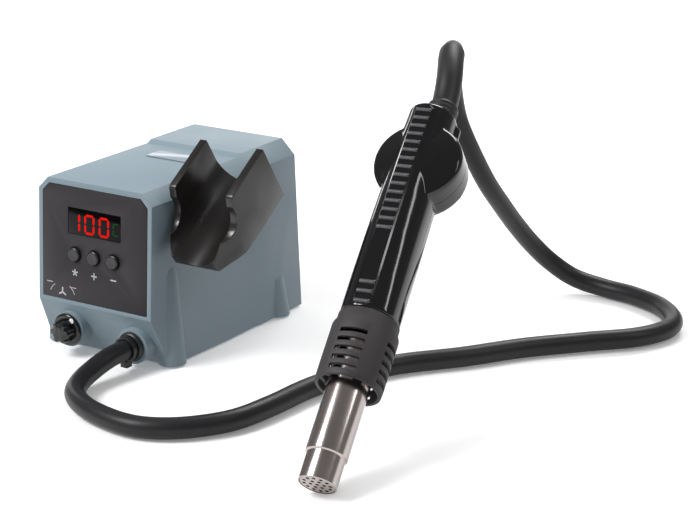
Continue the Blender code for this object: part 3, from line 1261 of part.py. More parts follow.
def hose_tail(handset):
    """The last points of the hose, straight into the boot, in the station's frame."""
    matrix = handset.matrix_basis
    places = (HANDLE_END + 13 * MM, HANDLE_END - 2 * MM)
    return [matrix @ Vector((TAIL_X, 0, z)) for z in places]


# ---------------------------------------------------------------- whole


def centre_on_floor(station, left_out):
    """Moves the whole so that its origin is the middle of the pieces' box, at floor height."""
    bpy.context.view_layer.update()
    graph = bpy.context.evaluated_depsgraph_get()
    low, high = [math.inf] * 3, [-math.inf] * 3
    for obj in bpy.context.scene.objects:
        if obj.hide_render or obj.type == "EMPTY" or obj in left_out:
            continue
        seen = obj.evaluated_get(graph)
        mesh = seen.to_mesh()
        for vertex in mesh.vertices:
            place = seen.matrix_world @ vertex.co
            for i in range(3):
                low[i], high[i] = min(low[i], place[i]), max(high[i], place[i])
        seen.to_mesh_clear()
    station.location = (-(low[0] + high[0]) / 2, -(low[1] + high[1]) / 2, 0)


def main():
    clear_scene()
    station = empty("station_frame")
    lean = math.atan2(FRONT_LEAN, FRONT_HEIGHT - UNDERCUT_HEIGHT)
    face = empty("face_frame", station, (0, 0, UNDERCUT_HEIGHT), (-lean, 0, 0))
    housing(station, face)
    base(station)
    front_panel(face)
    buttons(face)
    control_board(face)
    airflow_knob(station)
    gland(station)
    holder(station)
    _, rear_face = rear_panel(station)
    power_inlet(station, rear_face)
    power_switch(station, rear_face)
    power_parts(station)
    label_plate(station)
    handset = handset_frame(station)
    bpy.context.view_layer.update()
    handle(handset)
    heat_guard(handset)
    barrel(handset)
    heater(handset)
    blower(handset)
    handle_board(handset)
    way = hose_way(hose_tail(handset))
    tail_boot(handset, way)
    lead = hose(station, way)
    centre_on_floor(station, [lead])


main()
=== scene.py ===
"""The looks of a hot air rework station: housing, cradle, blower handset and hose round the CAD frame."""

import json
import math

import bmesh
import bpy
import numpy as np
from mathutils import Euler, Matrix, Vector
from mathutils.geometry import interpolate_bezier

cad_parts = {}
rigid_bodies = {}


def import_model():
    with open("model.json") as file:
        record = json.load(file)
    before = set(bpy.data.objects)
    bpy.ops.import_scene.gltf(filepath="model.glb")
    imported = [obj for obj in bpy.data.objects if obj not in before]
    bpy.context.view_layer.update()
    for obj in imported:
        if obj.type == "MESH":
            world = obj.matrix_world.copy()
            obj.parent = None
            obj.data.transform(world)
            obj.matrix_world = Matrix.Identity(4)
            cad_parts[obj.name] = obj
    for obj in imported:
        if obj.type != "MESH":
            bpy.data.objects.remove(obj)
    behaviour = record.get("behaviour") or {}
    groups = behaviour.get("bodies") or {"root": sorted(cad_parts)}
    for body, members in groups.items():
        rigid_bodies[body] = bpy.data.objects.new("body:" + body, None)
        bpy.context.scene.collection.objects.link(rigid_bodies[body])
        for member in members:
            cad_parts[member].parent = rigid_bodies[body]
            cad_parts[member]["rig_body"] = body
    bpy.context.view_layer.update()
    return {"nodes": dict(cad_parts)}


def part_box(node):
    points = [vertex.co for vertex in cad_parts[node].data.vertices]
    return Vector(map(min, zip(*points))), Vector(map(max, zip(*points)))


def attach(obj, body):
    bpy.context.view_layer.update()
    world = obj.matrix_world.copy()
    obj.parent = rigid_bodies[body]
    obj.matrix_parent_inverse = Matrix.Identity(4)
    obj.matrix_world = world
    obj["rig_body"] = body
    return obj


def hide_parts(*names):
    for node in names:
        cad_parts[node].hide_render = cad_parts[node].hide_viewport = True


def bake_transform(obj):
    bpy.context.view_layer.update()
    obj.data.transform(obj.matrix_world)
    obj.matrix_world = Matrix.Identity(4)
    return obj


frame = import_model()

bl_info = {
    "name": "Hot Air Station",
    "version": (1, 0, 0),
    "blender": (4, 5, 0),
    "location": "View3D > Sidebar > Hot Air Station",
    "description": "Builds the visible pieces and finishes of a hot air rework station round its CAD frame",
    "category": "Object",
}

MM = 0.001
FOOT_PLACE = Vector((-34, 32, 0)) * MM  # front left foot, in the station's own frame
foot_low, foot_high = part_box("foot_front_left")
STATION = Matrix.Translation(((foot_low.x + foot_high.x) / 2, (foot_low.y + foot_high.y) / 2, 0)) @ (
    Matrix.Translation(-FOOT_PLACE))

# Sizes shared with the CAD, in metres
FACE_FOOT = 34.6 * MM
FACE_TOP = 114.8 * MM
FACE_SETBACK = 5.1 * MM  # how far the face leans back between its foot and its top
FACE_LEAN = math.atan2(FACE_SETBACK, FACE_TOP - FACE_FOOT)
FACE = STATION @ Matrix.Translation((0, 0, FACE_FOOT)) @ Matrix.Rotation(-FACE_LEAN, 4, "X")
SEAT_RADIUS = 11 * MM
BARREL_RADIUS = 12 * MM
MOUTH = (234.4 * MM, -101.3 * MM)  # the barrel's mouth over the floor, in the station's frame
RISE = math.radians(41)
HEADING = math.radians(10.7)
HANDSET = STATION @ Matrix.Translation((*MOUTH, SEAT_RADIUS * math.cos(RISE))) @ (
    Euler((RISE - math.pi / 2, 0, HEADING)).to_matrix().to_4x4())
HOSE_RADIUS = 6.5 * MM
GLAND = (29.6 * MM, 15.4 * MM)
KNOB = (-21.8 * MM, 17.2 * MM)
BUTTON_HEIGHT = 33.4 * MM
BUTTON_PITCH = 15.4 * MM
BUTTON_RADIUS = 4.5 * MM
GUARD_END = 102 * MM
GRIP_START = GUARD_END + 0.3 * MM
HANDLE_END = 244.5 * MM
VOLUTE = (2.2 * MM, 206 * MM)
TAIL_X = 3.5 * MM
TAIL_BORE = 8 * MM
HANDLE_WALL = 2 * MM
# Place along the handle from the guard, half-width and half-depth of its oval section, in millimetres
HANDLE_SECTIONS = ((0, 16.9, 17.4), (20.5, 16.9, 18.5), (46.5, 16.7, 19.3), (78.5, 16.3, 19.3),
                   (103.5, 15.6, 18.6), (122.5, 14.9, 17.5), (137.5, 14.3, 16.4))
# The hose's middle line over the floor, in the station's frame and in millimetres
HOSE_ROUTE = (
    (28.6, -21.5, 14.5), (27.4, -35.5, 11.2), (29.0, -50.5, 8.2), (37.0, -65.0, 6.9), (54.5, -77.5, 6.9),
    (75.8, -84.5, 6.9), (97.5, -86.2, 6.9), (114.5, -80.0, 6.9), (129.6, -66.8, 6.9), (141.8, -47.0, 6.9),
    (147.5, -17.5, 6.9), (151.0, 18.5, 6.9), (160.5, 53.0, 6.9), (177.0, 83.0, 6.9), (203.0, 114.0, 6.9),
    (227.5, 148.5, 6.9), (256.5, 180.5, 6.9), (283.5, 210.0, 6.9), (291.0, 239.5, 6.9), (272.5, 267.3, 6.9),
    (245.0, 281.2, 6.9), (220.0, 285.2, 7.2), (198.5, 281.6, 12.0), (184.0, 274.0, 23.0),
    (175.8, 261.5, 37.5), (171.8, 244.3, 55.0), (170.4, 224.8, 74.0), (168.6, 206.0, 94.0),
    (166.0, 188.8, 118.0), (163.2, 178.2, 137.0), (161.8, 173.8, 149.0), (163.6, 165.5, 167.5),
    (169.8, 154.0, 182.3), (177.6, 140.5, 193.6), (185.2, 127.2, 198.8), (192.2, 112.8, 195.9),
    (198.0, 101.2, 188.4),
)
HOSE_POINTS = 260
TURN = 2 * math.pi


# ---------------------------------------------------------------- forms


CURVE_STEPS = 24  # points on a curve between two chosen ones
ROUND_STEPS = 4  # faces across a rounded corner of a profile
ROUND_REACH = 0.45  # most of a side that one rounded corner takes, so that two never meet
AXES = {"Y": (0, 2, 1), "Z": (0, 1, 2)}


def smooth_way(points, count):
    """Evenly spaced points on one smooth curve through chosen ones."""
    places = [Vector(p) for p in points]
    tangents = []
    for i in range(len(places)):
        before, after = places[max(i - 1, 0)], places[min(i + 1, len(places) - 1)]
        tangents.append((after - before).normalized())
    fine = []
    for i in range(len(places) - 1):
        reach = (places[i + 1] - places[i]).length / 3
        handles = (places[i] + tangents[i] * reach, places[i + 1] - tangents[i + 1] * reach)
        fine += interpolate_bezier(places[i], *handles, places[i + 1], CURVE_STEPS)[:-1]
    fine.append(places[-1])
    steps = [0.0] + [(b - a).length for a, b in zip(fine, fine[1:])]
    lengths = np.cumsum(steps)
    rows = np.array([list(p) for p in fine])
    wanted = np.linspace(0, lengths[-1], count)
    return [Vector([np.interp(w, lengths, rows[:, k]) for k in range(3)]) for w in wanted]


def circle(radius, sides, centre=(0, 0), start=0.0, turn=TURN):
    """Points round a circle, or along an arc of it from end to end."""
    steps = sides if turn == TURN else sides - 1
    angles = [start + turn * i / steps for i in range(sides)]
    return [(centre[0] + radius * math.cos(a), centre[1] + radius * math.sin(a)) for a in angles]


def in_mm(rows):
    return [tuple(value * MM for value in row) for row in rows]


def placed(u, v, along, axis):
    """A point from its two places across an axis and its place along it."""
    point = [0.0, 0.0, 0.0]
    first, second, third = AXES[axis]
    point[first], point[second], point[third] = u, v, along
    return point


def loft(rings, form=None):
    """A skin through rings with the same number of points, closed at its ends."""
    form = form or bmesh.new()
    made = [[form.verts.new(point) for point in ring] for ring in rings]
    count = len(made[0])
    for low, high in zip(made, made[1:]):
        for i in range(count):
            form.faces.new((low[i], low[(i + 1) % count], high[(i + 1) % count], high[i]))
    form.faces.new(made[0][::-1])
    form.faces.new(made[-1])
    return form


def turned(profile, sides, axis="Z", centre=(0, 0)):
    """A (radius, place) profile turned round an axis. It may start and end on the axis."""
    form = bmesh.new()
    rings = []
    for radius, along in profile:
        points = circle(radius, sides, centre) if radius > 0 else [centre]
        rings.append([form.verts.new(placed(u, v, along, axis)) for u, v in points])
    pairs = list(zip(rings, rings[1:]))
    if len(rings[0]) > 1 and len(rings[-1]) > 1:
        pairs.append((rings[-1], rings[0]))
    for low, high in pairs:
        for i in range(sides):
            j = (i + 1) % sides
            corners = (low[i % len(low)], low[j % len(low)], high[j % len(high)], high[i % len(high)])
            unique = list(dict.fromkeys(corners))
            if len(unique) > 2:
                form.faces.new(unique)
    return form


def rounded(profile, radius):
    """The profile with each inner corner replaced by a short arc."""
    made = [profile[0]]
    for before, here, after in zip(profile, profile[1:], profile[2:]):
        p, a, b = Vector(here), Vector(before), Vector(after)
        reach = min(radius, (a - p).length * ROUND_REACH, (b - p).length * ROUND_REACH)
        start, end = p + (a - p).normalized() * reach, p + (b - p).normalized() * reach
        for i in range(ROUND_STEPS + 1):
            t = i / ROUND_STEPS
            made.append(tuple(start * (1 - t) ** 2 + p * 2 * t * (1 - t) + end * t ** 2))
    return made + [profile[-1]]


def swept(way, radii, sides):
    """A round tube of changing radius along a way, closed at its ends."""
    rings, side = [], None
    for i, (place, radius) in enumerate(zip(way, radii)):
        along = (way[min(i + 1, len(way) - 1)] - way[max(i - 1, 0)]).normalized()
        side = side or along.orthogonal()
        side = (side - along * along.dot(side)).normalized()
        across = along.cross(side)
        rings.append([place + side * u + across * v for u, v in circle(radius, sides)])
    return loft(rings)


def slab(outline, front, back, form):
    """Adds a flat plate to a form."""
    return loft([[placed(u, v, along, "Y") for u, v in outline] for along in (front, back)], form)


def piece(name, form, finish, body, matrix=None, replaced=(), sharp=35):
    """A finished piece from a bmesh in its own frame, which rides on a body."""
    bmesh.ops.recalc_face_normals(form, faces=form.faces)
    mesh = bpy.data.meshes.new(name)
    form.to_mesh(mesh)
    form.free()
    mesh.shade_smooth()
    mesh.set_sharp_from_angle(angle=math.radians(sharp))
    made = bpy.data.objects.new(name, mesh)
    bpy.context.scene.collection.objects.link(made)
    made.matrix_world = matrix or Matrix.Identity(4)
    mesh.materials.append(finish)
    if body:
        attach(made, body)
    if replaced:
        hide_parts(*replaced)
    return made


def edged(form, width, steps, least):
    """Merges the flat triangles and rounds the edges sharper than an angle."""
    weld, flat = 0.004 * MM, math.radians(1.0)
    bmesh.ops.remove_doubles(form, verts=form.verts, dist=weld)
    bmesh.ops.dissolve_limit(form, angle_limit=flat, verts=form.verts, edges=form.edges)
    edges = [e for e in form.edges if len(e.link_faces) == 2 and e.calc_face_angle(0) > math.radians(least)]
    bmesh.ops.bevel(form, geom=edges, offset=width, segments=steps, profile=0.5, affect="EDGES",
                    clamp_overlap=True, loop_slide=True)
    return form


def from_node(node):
    """A copy of a CAD node's mesh to refine."""
    form = bmesh.new()
    form.from_mesh(frame["nodes"][node].data)
    return form


def body_of(node):
    return frame["nodes"][node]["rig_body"]


def refined(node, width, finish, steps=2, least=28, sharp=40):
    """A finer piece in place of a CAD node, with its edges rounded."""
    form = edged(from_node(node), width, steps, least)
    return piece(f"{node}_fine", form, finish, body_of(node), None, (node,), sharp)


def cut(target, tools, operation="DIFFERENCE"):
    """Carries out Booleans on a piece's mesh at once, and removes the tools."""
    for tool in tools:
        modifier = target.modifiers.new("cut", "BOOLEAN")
        modifier.operation = operation
        modifier.solver = "EXACT"
        modifier.object = tool
    bpy.context.view_layer.update()
    graph = bpy.context.evaluated_depsgraph_get()
    mesh = bpy.data.meshes.new_from_object(target.evaluated_get(graph))
    target.modifiers.clear()
    target.data = mesh
    for tool in tools:
        bpy.data.objects.remove(tool)


def guide(form, matrix):
    """A tool for a Boolean."""
    bmesh.ops.recalc_face_normals(form, faces=form.faces)
    mesh = bpy.data.meshes.new("guide")
    form.to_mesh(mesh)
    form.free()
    made = bpy.data.objects.new("guide", mesh)
    bpy.context.scene.collection.objects.link(made)
    made.matrix_world = matrix
    return made


# ---------------------------------------------------------------- finishes


def linear(code):
    """sRGB hex to linear RGBA."""
    parts = [int(code[i:i + 2], 16) / 255 for i in (1, 3, 5)]
    return tuple(c / 12.92 if c <= 0.04045 else ((c + 0.055) / 1.055) ** 2.4 for c in parts) + (1.0,)


def shade(code, share):
    """The colour with its light made more or less by a share."""
    return tuple(min(c * share, 1.0) for c in linear(code)[:3]) + (1.0,)


def add(tree, kind, inputs=None, **settings):
    """Adds a node with its settings, values and links."""
    made = tree.nodes.new(kind)
    for key, value in settings.items():
        setattr(made, key, value)
    for key, value in (inputs or {}).items():
        if isinstance(value, bpy.types.NodeSocket):
            tree.links.new(value, made.inputs[key])
        else:
            made.inputs[key].default_value = value
    return made


def begin(name):
    """A new material, its node tree and its shader."""
    made = bpy.data.materials.new(name)
    made.use_nodes = True
    return made, made.node_tree, made.node_tree.nodes["Principled BSDF"]


def finish_surface(name, code, rough, grain, depth, tone=0.06, patch=35 * MM, stretch=(1, 1, 1), **constants):
    """A surface with uneven tone and sheen over patches, and a fine grain of a real size in its relief."""
    made, tree, shader = begin(name)
    place = add(tree, "ShaderNodeTexCoord").outputs["Object"]
    cloud = add(tree, "ShaderNodeTexNoise", {"Vector": place, "Scale": 1 / patch, "Detail": 4.0}).outputs[0]
    colour = add(tree, "ShaderNodeMix", {0: cloud, 6: shade(code, 1 - tone), 7: shade(code, 1 + tone)},
                 data_type="RGBA")
    tree.links.new(colour.outputs[2], shader.inputs["Base Color"])
    low, high, spread = 0.3, 0.7, 0.12  # the cloud's usual range, and how far the roughness strays
    sheen = add(tree, "ShaderNodeMapRange", {"Value": cloud, "From Min": low, "From Max": high,
                                             "To Min": rough * (1 - spread), "To Max": rough * (1 + spread)})
    tree.links.new(sheen.outputs["Result"], shader.inputs["Roughness"])
    drawn = add(tree, "ShaderNodeVectorMath", {0: place, 1: stretch}, operation="MULTIPLY").outputs["Vector"]
    relief = add(tree, "ShaderNodeTexNoise", {"Vector": drawn, "Scale": 1 / grain, "Detail": 2.0}).outputs[0]
    bump = add(tree, "ShaderNodeBump", {"Height": relief, "Distance": depth, "Strength": 1.0})
    tree.links.new(bump.outputs["Normal"], shader.inputs["Normal"])
    for key, value in constants.items():
        shader.inputs[key.replace("_", " ")].default_value = value
    return made


def make_finishes(colours):
    """Every finish of the object, by its slot."""
    made = {}
    surface = finish_surface
    # Moulded ABS with a spark-eroded satin skin: soft broad highlights and a fine even grain. The real grain
    # is about 0.2 mm; it is drawn at 0.9 mm so that it shows.
    made["housing_plastic"] = surface("housing ABS, spark-textured", colours.housing, 0.46, 0.9 * MM,
                                      0.035 * MM, 0.035, IOR=1.53)
    # Screen-printed polyester overlay: flat, dark, slightly warm and barely shiny.
    made["panel_print"] = surface("panel polyester, printed", colours.panel, 0.48, 0.5 * MM, 0.006 * MM,
                                  0.03, IOR=1.57, Specular_IOR_Level=0.25)
    # Smoked acrylic with an anti-glare coat: nearly black, with a clear but faint gloss.
    made["display_lens"] = surface("lens acrylic, smoked", "#030202", 0.09, 6 * MM, 0.004 * MM, IOR=1.49,
                                   Specular_IOR_Level=0.12)
    # Cast epoxy over the display's bars: dull dark red behind the lens.
    made["display_led"] = surface("display epoxy, cast", "#5a1414", 0.4, 1 * MM, 0.01 * MM)
    # Moulded ABS off a polished tool: black with crisp highlights, very slightly wavy.
    made["knob_plastic"] = surface("knob ABS, polished tool", "#121213", 0.2, 4 * MM, 0.012 * MM, 0.1,
                                   IOR=1.53)
    # Moulded ABS off a satin tool: charcoal keys with one soft highlight each.
    made["button_plastic"] = surface("button ABS, satin", "#1d1d1f", 0.34, 0.6 * MM, 0.012 * MM, 0.08,
                                     IOR=1.53)
    # Moulded nylon: dull black with a slight waxy sheen.
    made["gland_nylon"] = surface("gland nylon, moulded", "#19191b", 0.42, 0.7 * MM, 0.015 * MM, 0.1)
    # Extruded nylon strap: black, a little shinier than the gland.
    made["tie_nylon"] = surface("tie nylon, extruded", "#161618", 0.36, 0.8 * MM, 0.01 * MM, 0.1)
    # Extruded soft rubber: satin black, long soft highlights and a slight unevenness, drawn at 2.2 mm.
    made["hose_rubber"] = surface("hose rubber, extruded", colours.hose, 0.4, 2.2 * MM, 0.05 * MM, 0.14,
                                  60 * MM, IOR=1.5, Specular_IOR_Level=0.28)
    # Moulded rubber: duller than the hose, with a fine dry skin.
    made["boot_rubber"] = surface("boot rubber, moulded", "#1c1c1e", 0.5, 0.8 * MM, 0.02 * MM, 0.12)
    # Moulded ABS, brown-black: half-gloss with soft wide highlights inside the cradle.
    made["holder_plastic"] = surface("cradle ABS, half-gloss", colours.cradle, 0.3, 0.9 * MM, 0.02 * MM,
                                     0.08, IOR=1.53)
    # Moulded ABS off a mirror-polished tool: deep black, sharp reflections, a slight moulding ripple.
    made["handle_plastic"] = surface("handle ABS, high gloss", colours.handle, 0.1, 14 * MM, 0.05 * MM, 0.15,
                                     IOR=1.54)
    # The ribs' crowns have a satin tool finish. Their base is a lighter grey than the handle's black, a
    # painted highlight that gives each rib an even grey line of light.
    made["rib_plastic"] = surface("handle ribs ABS, satin, painted highlight", "#49494c", 0.3, 0.6 * MM, 0.01 * MM, 0.08,
                                  IOR=1.54)
    # Glass-filled nylon: matt dark grey with a dry granular skin.
    made["guard_nylon"] = surface("guard nylon, glass-filled", colours.guard, 0.62, 0.7 * MM, 0.035 * MM,
                                  0.09)
    # Drawn stainless steel, polished round its length: bright, with soft bands and faint rings. Real ones are
    # finer than 0.1 mm; they are drawn at 0.5 mm so that they show.
    made["barrel_steel"] = surface("barrel stainless steel, satin", colours.barrel, 0.2, 0.5 * MM, 0.006 * MM,
                                   0.07, 22 * MM, (0.04, 0.04, 1), Metallic=1.0)
    # Nickel plate: cool grey metal with soft spots of light.
    made["shaft_steel"] = surface("shaft steel, nickel-plated", "#b9b9b8", 0.25, 0.6 * MM, 0.006 * MM,
                                  Metallic=1.0)
    # Bright zinc plate: bluer and softer than nickel.
    made["screw_zinc"] = surface("screw steel, zinc-plated", "#b4b5b9", 0.34, 0.7 * MM, 0.01 * MM, 0.1,
                                 Metallic=1.0)
    # Nickel plate on a sintered magnet: bright and slightly warm, almost a mirror.
    made["magnet_nickel"] = surface("magnet, nickel-plated", "#c2c0bc", 0.18, 1 * MM, 0.004 * MM,
                                    Metallic=1.0)
    # Stamped brass: yellow metal with a soft shine on the inlet's pins.
    made["pin_brass"] = surface("pin brass, stamped", "#c9ab6a", 0.27, 0.5 * MM, 0.006 * MM, Metallic=1.0)
    # Extruded aluminium: pale, with draw lines along the fins.
    made["heat_sink_alloy"] = surface("heat sink aluminium, extruded", "#c4c5c8", 0.36, 0.5 * MM, 0.01 * MM,
                                      stretch=(1, 1, 0.05), Metallic=1.0)
    # Moulded black ABS with a light texture for the rear panel.
    made["rear_plastic"] = surface("rear ABS, textured", "#222325", 0.5, 0.9 * MM, 0.03 * MM, 0.08)
    # Moulded nylon of the bought-in fittings: a shade darker and smoother than the panel round them.
    made["inlet_plastic"] = surface("inlet nylon, moulded", "#18181a", 0.42, 0.8 * MM, 0.015 * MM, 0.1)
    # Moulded polycarbonate: clean red with a sharp highlight.
    made["rocker_red"] = surface("rocker polycarbonate, gloss", "#a3120e", 0.2, 2 * MM, 0.006 * MM, 0.05)
    # Powder coat on sheet steel: black with a fine orange-peel relief.
    made["base_steel"] = surface("base steel, powder-coated", "#1b1c1f", 0.5, 0.9 * MM, 0.03 * MM, 0.08)
    # Moulded rubber: matt black that hardly shines at all.
    made["foot_rubber"] = surface("foot rubber, moulded", "#171717", 0.78, 0.7 * MM, 0.03 * MM, 0.1)
    # Moulded nylon of the key switches: plain dull black.
    made["switch_body"] = surface("switch nylon, moulded", "#161617", 0.45, 0.8 * MM, 0.01 * MM)
    # Solder mask on glass-fibre board: half-gloss green with the weave just telling.
    made["circuit_board"] = surface("board glass-fibre, masked", "#1f5a34", 0.35, 0.9 * MM, 0.012 * MM)
    # Stacked steel sheets under lacquer: dark grey, with fine lines along the stack.
    made["transformer_core"] = surface("core steel, lacquered", "#3b3b3e", 0.45, 0.5 * MM, 0.02 * MM,
                                       stretch=(1, 1, 0.1), Metallic=0.6)
    # Glossy polyester film: pale blue-grey, mirrors the light over it and lies slightly wavy.
    made["label_film"] = surface("label polyester, glossy", "#8e9aa5", 0.2, 9 * MM, 0.006 * MM, 0.04)
    # Moulded ABS off a satin tool: dull black behind the handle's gloss.
    made["grille_plastic"] = surface("grille ABS, satin", "#1a1a1b", 0.45, 0.8 * MM, 0.015 * MM)
    # Unpigmented polyamide: milky off-white with a waxy shine.
    made["impeller_plastic"] = surface("impeller polyamide, natural", "#cfcabd", 0.4, 1 * MM, 0.01 * MM)
    # Deep-drawn steel can: mid grey metal with a soft shine.
    made["motor_steel"] = surface("motor steel, drawn", "#a9a9aa", 0.33, 0.6 * MM, 0.006 * MM, Metallic=1.0)
    # Pressed and fired ceramic: chalky cream, without shine.
    made["heater_ceramic"] = surface("heater ceramic, pressed", "#d9d3c4", 0.7, 0.6 * MM, 0.03 * MM)
    # Resistance wire after its first heating: brown-grey oxide over metal.
    made["heater_wire"] = surface("heater wire, oxidised", "#6b625a", 0.45, 0.4 * MM, 0.01 * MM, Metallic=1.0)
    # Pressed mica flakes: tan, uneven in tone, with a pearly sheen.
    made["mica_sheet"] = surface("mica, pressed sheet", "#a8906a", 0.45, 2 * MM, 0.02 * MM, 0.15)
    # Drawn glass tube: pale green with a sharp highlight.
    made["reed_glass"] = surface("reed glass, drawn", "#5e8f6b", 0.12, 2 * MM, 0.004 * MM)
    return made


SLOTS = {
    "housing_shell": "housing_plastic", "front_panel": "panel_print", "display_window": "display_lens",
    "display_module": "display_led", "airflow_knob": "knob_plastic", "knob_shaft": "shaft_steel",
    "potentiometer": "shaft_steel", "potentiometer_nut": "shaft_steel", "hose_gland": "gland_nylon",
    "hose_gland_nut": "gland_nylon", "hose_tie": "tie_nylon", "holder_cradle": "holder_plastic",
    "holder_screw_1": "screw_zinc", "holder_screw_2": "screw_zinc", "holder_magnet": "magnet_nickel",
    "rear_panel": "rear_plastic", "power_inlet": "inlet_plastic", "inlet_pin_live": "pin_brass",
    "inlet_pin_neutral": "pin_brass", "inlet_pin_earth": "pin_brass", "fuse_holder": "inlet_plastic",
    "switch_frame": "inlet_plastic", "power_rocker": "rocker_red", "base_plate": "base_steel",
    "control_board": "circuit_board", "power_board": "circuit_board", "transformer": "transformer_core",
    "heat_sink": "heat_sink_alloy", "top_label": "label_film", "handle_front": "handle_plastic",
    "handle_back": "handle_plastic", "handle_screw_1": "screw_zinc", "handle_screw_2": "screw_zinc",
    "heat_guard": "guard_nylon", "nozzle_barrel": "barrel_steel", "nozzle_screen": "barrel_steel",
    "mica_sleeve": "mica_sheet", "heater_core": "heater_ceramic", "heater_coil": "heater_wire",
    "blower_motor": "motor_steel", "blower_impeller": "impeller_plastic", "intake_grille": "grille_plastic",
    "handle_board": "circuit_board", "reed_switch": "reed_glass", "tail_boot": "boot_rubber",
    "hose": "hose_rubber",
}
SLOTS.update({f"base_screw_{n}": "screw_zinc" for n in range(1, 5)})
SLOTS.update({f"foot_{row}_{side}": "foot_rubber" for row in ("front", "rear") for side in ("left", "right")})
for kind in ("mode", "plus", "minus"):
    SLOTS[f"button_{kind}"] = "button_plastic"
    SLOTS[f"switch_{kind}"] = "switch_body"
FINISHES = {}


# ---------------------------------------------------------------- settings


class StationColours(bpy.types.PropertyGroup):
    housing: bpy.props.StringProperty(
        name="Housing", description="Hex colour of the housing", default="#7e8f99")
    panel: bpy.props.StringProperty(
        name="Panel", description="Hex colour of the front panel", default="#2b282b")
    cradle: bpy.props.StringProperty(
        name="Cradle", description="Hex colour of the handset cradle", default="#1a1716")
    handle: bpy.props.StringProperty(
        name="Handle", description="Hex colour of the handle", default="#0a0a0b")
    guard: bpy.props.StringProperty(
        name="Guard", description="Hex colour of the heat guard", default="#343133")
    barrel: bpy.props.StringProperty(
        name="Barrel", description="Hex colour of the steel barrel", default="#b3aaa7")
    hose: bpy.props.StringProperty(
        name="Hose", description="Hex colour of the hose", default="#232325")
    digits: bpy.props.StringProperty(
        name="Digits", description="Hex colour of the lit digits", default="#f01510")


class StationSizes(bpy.types.PropertyGroup):
    edge: bpy.props.FloatProperty(
        name="Housing edge", description="Rounding of the housing's edges", default=1.3 * MM, unit="LENGTH")
    cradle_edge: bpy.props.FloatProperty(
        name="Cradle edge", description="Rounding of the cradle's edges", default=0.8 * MM, unit="LENGTH")
    rib_pitch: bpy.props.FloatProperty(
        name="Rib pitch", description="Spacing of the ribs on the handle", default=6 * MM, unit="LENGTH")
    rib_width: bpy.props.FloatProperty(
        name="Rib width", description="Width of a rib across the strip", default=9.3 * MM, unit="LENGTH")
    floor_glow: bpy.props.FloatProperty(
        name="Floor glow", description="Light of its own that the floor gives", default=0.15)
    view: bpy.props.FloatProperty(
        name="Lens", description="Focal length of the camera in millimetres", default=102.86, unit="CAMERA")


def colours():
    return bpy.context.scene.station_colours


def sizes():
    return bpy.context.scene.station_sizes


# ---------------------------------------------------------------- stage


# Name, power in watts, width and height, place, and the point it faces, in metres
LAMPS = (
    ("key", 29, (0.7, 0.7), (-0.76, -1.06, 1.37), (0, 0, 0)),
    ("side", 2.6, (0.12, 0.9), (1.2, 0.25, 1.1), (0.1, 0, 0.1)),
    ("top", 17, (0.9, 0.5), (-0.1, 1.3, 1.45), (0, 0, 0.1)),
    ("back", 4, (1.6, 0.4), (-0.85, 1.6, 0.4), (0.1, 0, 0.12)),
    ("left", 1.6, (0.1, 0.8), (-1.5, 0.75, 0.35), (0.1, 0, 0.15)),
)
ROOM_LIGHT = (0.47, 0.24, 1.0)  # on dull surfaces, in reflections, and as the backdrop itself
CAMERA_PLACE = (774.2 * MM, -923.5 * MM, 451.3 * MM)  # in the station's frame
CAMERA_DIP = 17.9  # degrees below level
CAMERA_HEADING = 32.26  # degrees


class STATION_OT_stage(bpy.types.Operator):
    """Lay the floor, hang the soft lights and set the camera"""
    bl_idname = "station.stage"
    bl_label = "Stage"

    def execute(self, context):
        scene = context.scene
        scene.view_settings.view_transform = "Standard"
        form = bmesh.new()
        bmesh.ops.create_grid(form, x_segments=2, y_segments=2, size=4.0)
        # White paint rolled on board: matt, even, with a light of its own that keeps it pale far out.
        board = finish_surface("floor board, painted", "#fbfbfb", 0.7, 3 * MM, 0.01 * MM, 0.004, 0.5,
                               Emission_Color=linear("#ffffff"), Emission_Strength=sizes().floor_glow)
        floor = piece("floor", form, board, None)
        floor.location.z = -0.2 * MM
        floor.visible_diffuse = False
        world = bpy.data.worlds.new("studio")
        world.use_nodes = True
        scene.world = world
        tree = world.node_tree
        ray = add(tree, "ShaderNodeLightPath").outputs
        white = linear("#ffffff")
        soft, gloss, plain = [
            add(tree, "ShaderNodeBackground", {"Color": white, "Strength": power}).outputs[0]
            for power in ROOM_LIGHT]
        lit = add(tree, "ShaderNodeMixShader", {0: ray["Is Glossy Ray"], 1: soft, 2: gloss}).outputs[0]
        seen = add(tree, "ShaderNodeMixShader", {0: ray["Is Camera Ray"], 1: lit, 2: plain}).outputs[0]
        tree.links.new(seen, tree.nodes["World Output"].inputs["Surface"])
        for name, power, size, place, target in LAMPS:
            lamp = bpy.data.lights.new(name, "AREA")
            lamp.shape = "RECTANGLE"
            lamp.size, lamp.size_y = size
            lamp.energy = power
            made = bpy.data.objects.new(name, lamp)
            scene.collection.objects.link(made)
            made.location = place
            made.rotation_euler = (Vector(target) - Vector(place)).to_track_quat("-Z", "Y").to_euler()
        camera = bpy.data.cameras.new("camera")
        camera.sensor_width = 36
        camera.lens = sizes().view
        made = bpy.data.objects.new("camera", camera)
        scene.collection.objects.link(made)
        made.location = STATION @ Vector(CAMERA_PLACE)
        made.rotation_euler = (math.radians(90 - CAMERA_DIP), 0, math.radians(CAMERA_HEADING))
        scene.camera = made
        return {"FINISHED"}


# ---------------------------------------------------------------- hose and boot


def hose_way():
    """The hose's middle line from inside the gland to inside the handle's tail."""
    first = [Vector((GLAND[0], y * MM, GLAND[1])) for y in (1, -5, -11)]
    local = STATION.inverted() @ HANDSET
    tail = [local @ Vector((TAIL_X, 0, HANDLE_END + reach * MM)) for reach in (13, -2)]
    way = smooth_way(first + [Vector(p) * MM for p in HOSE_ROUTE] + tail, HOSE_POINTS)
    return [STATION @ p for p in way]


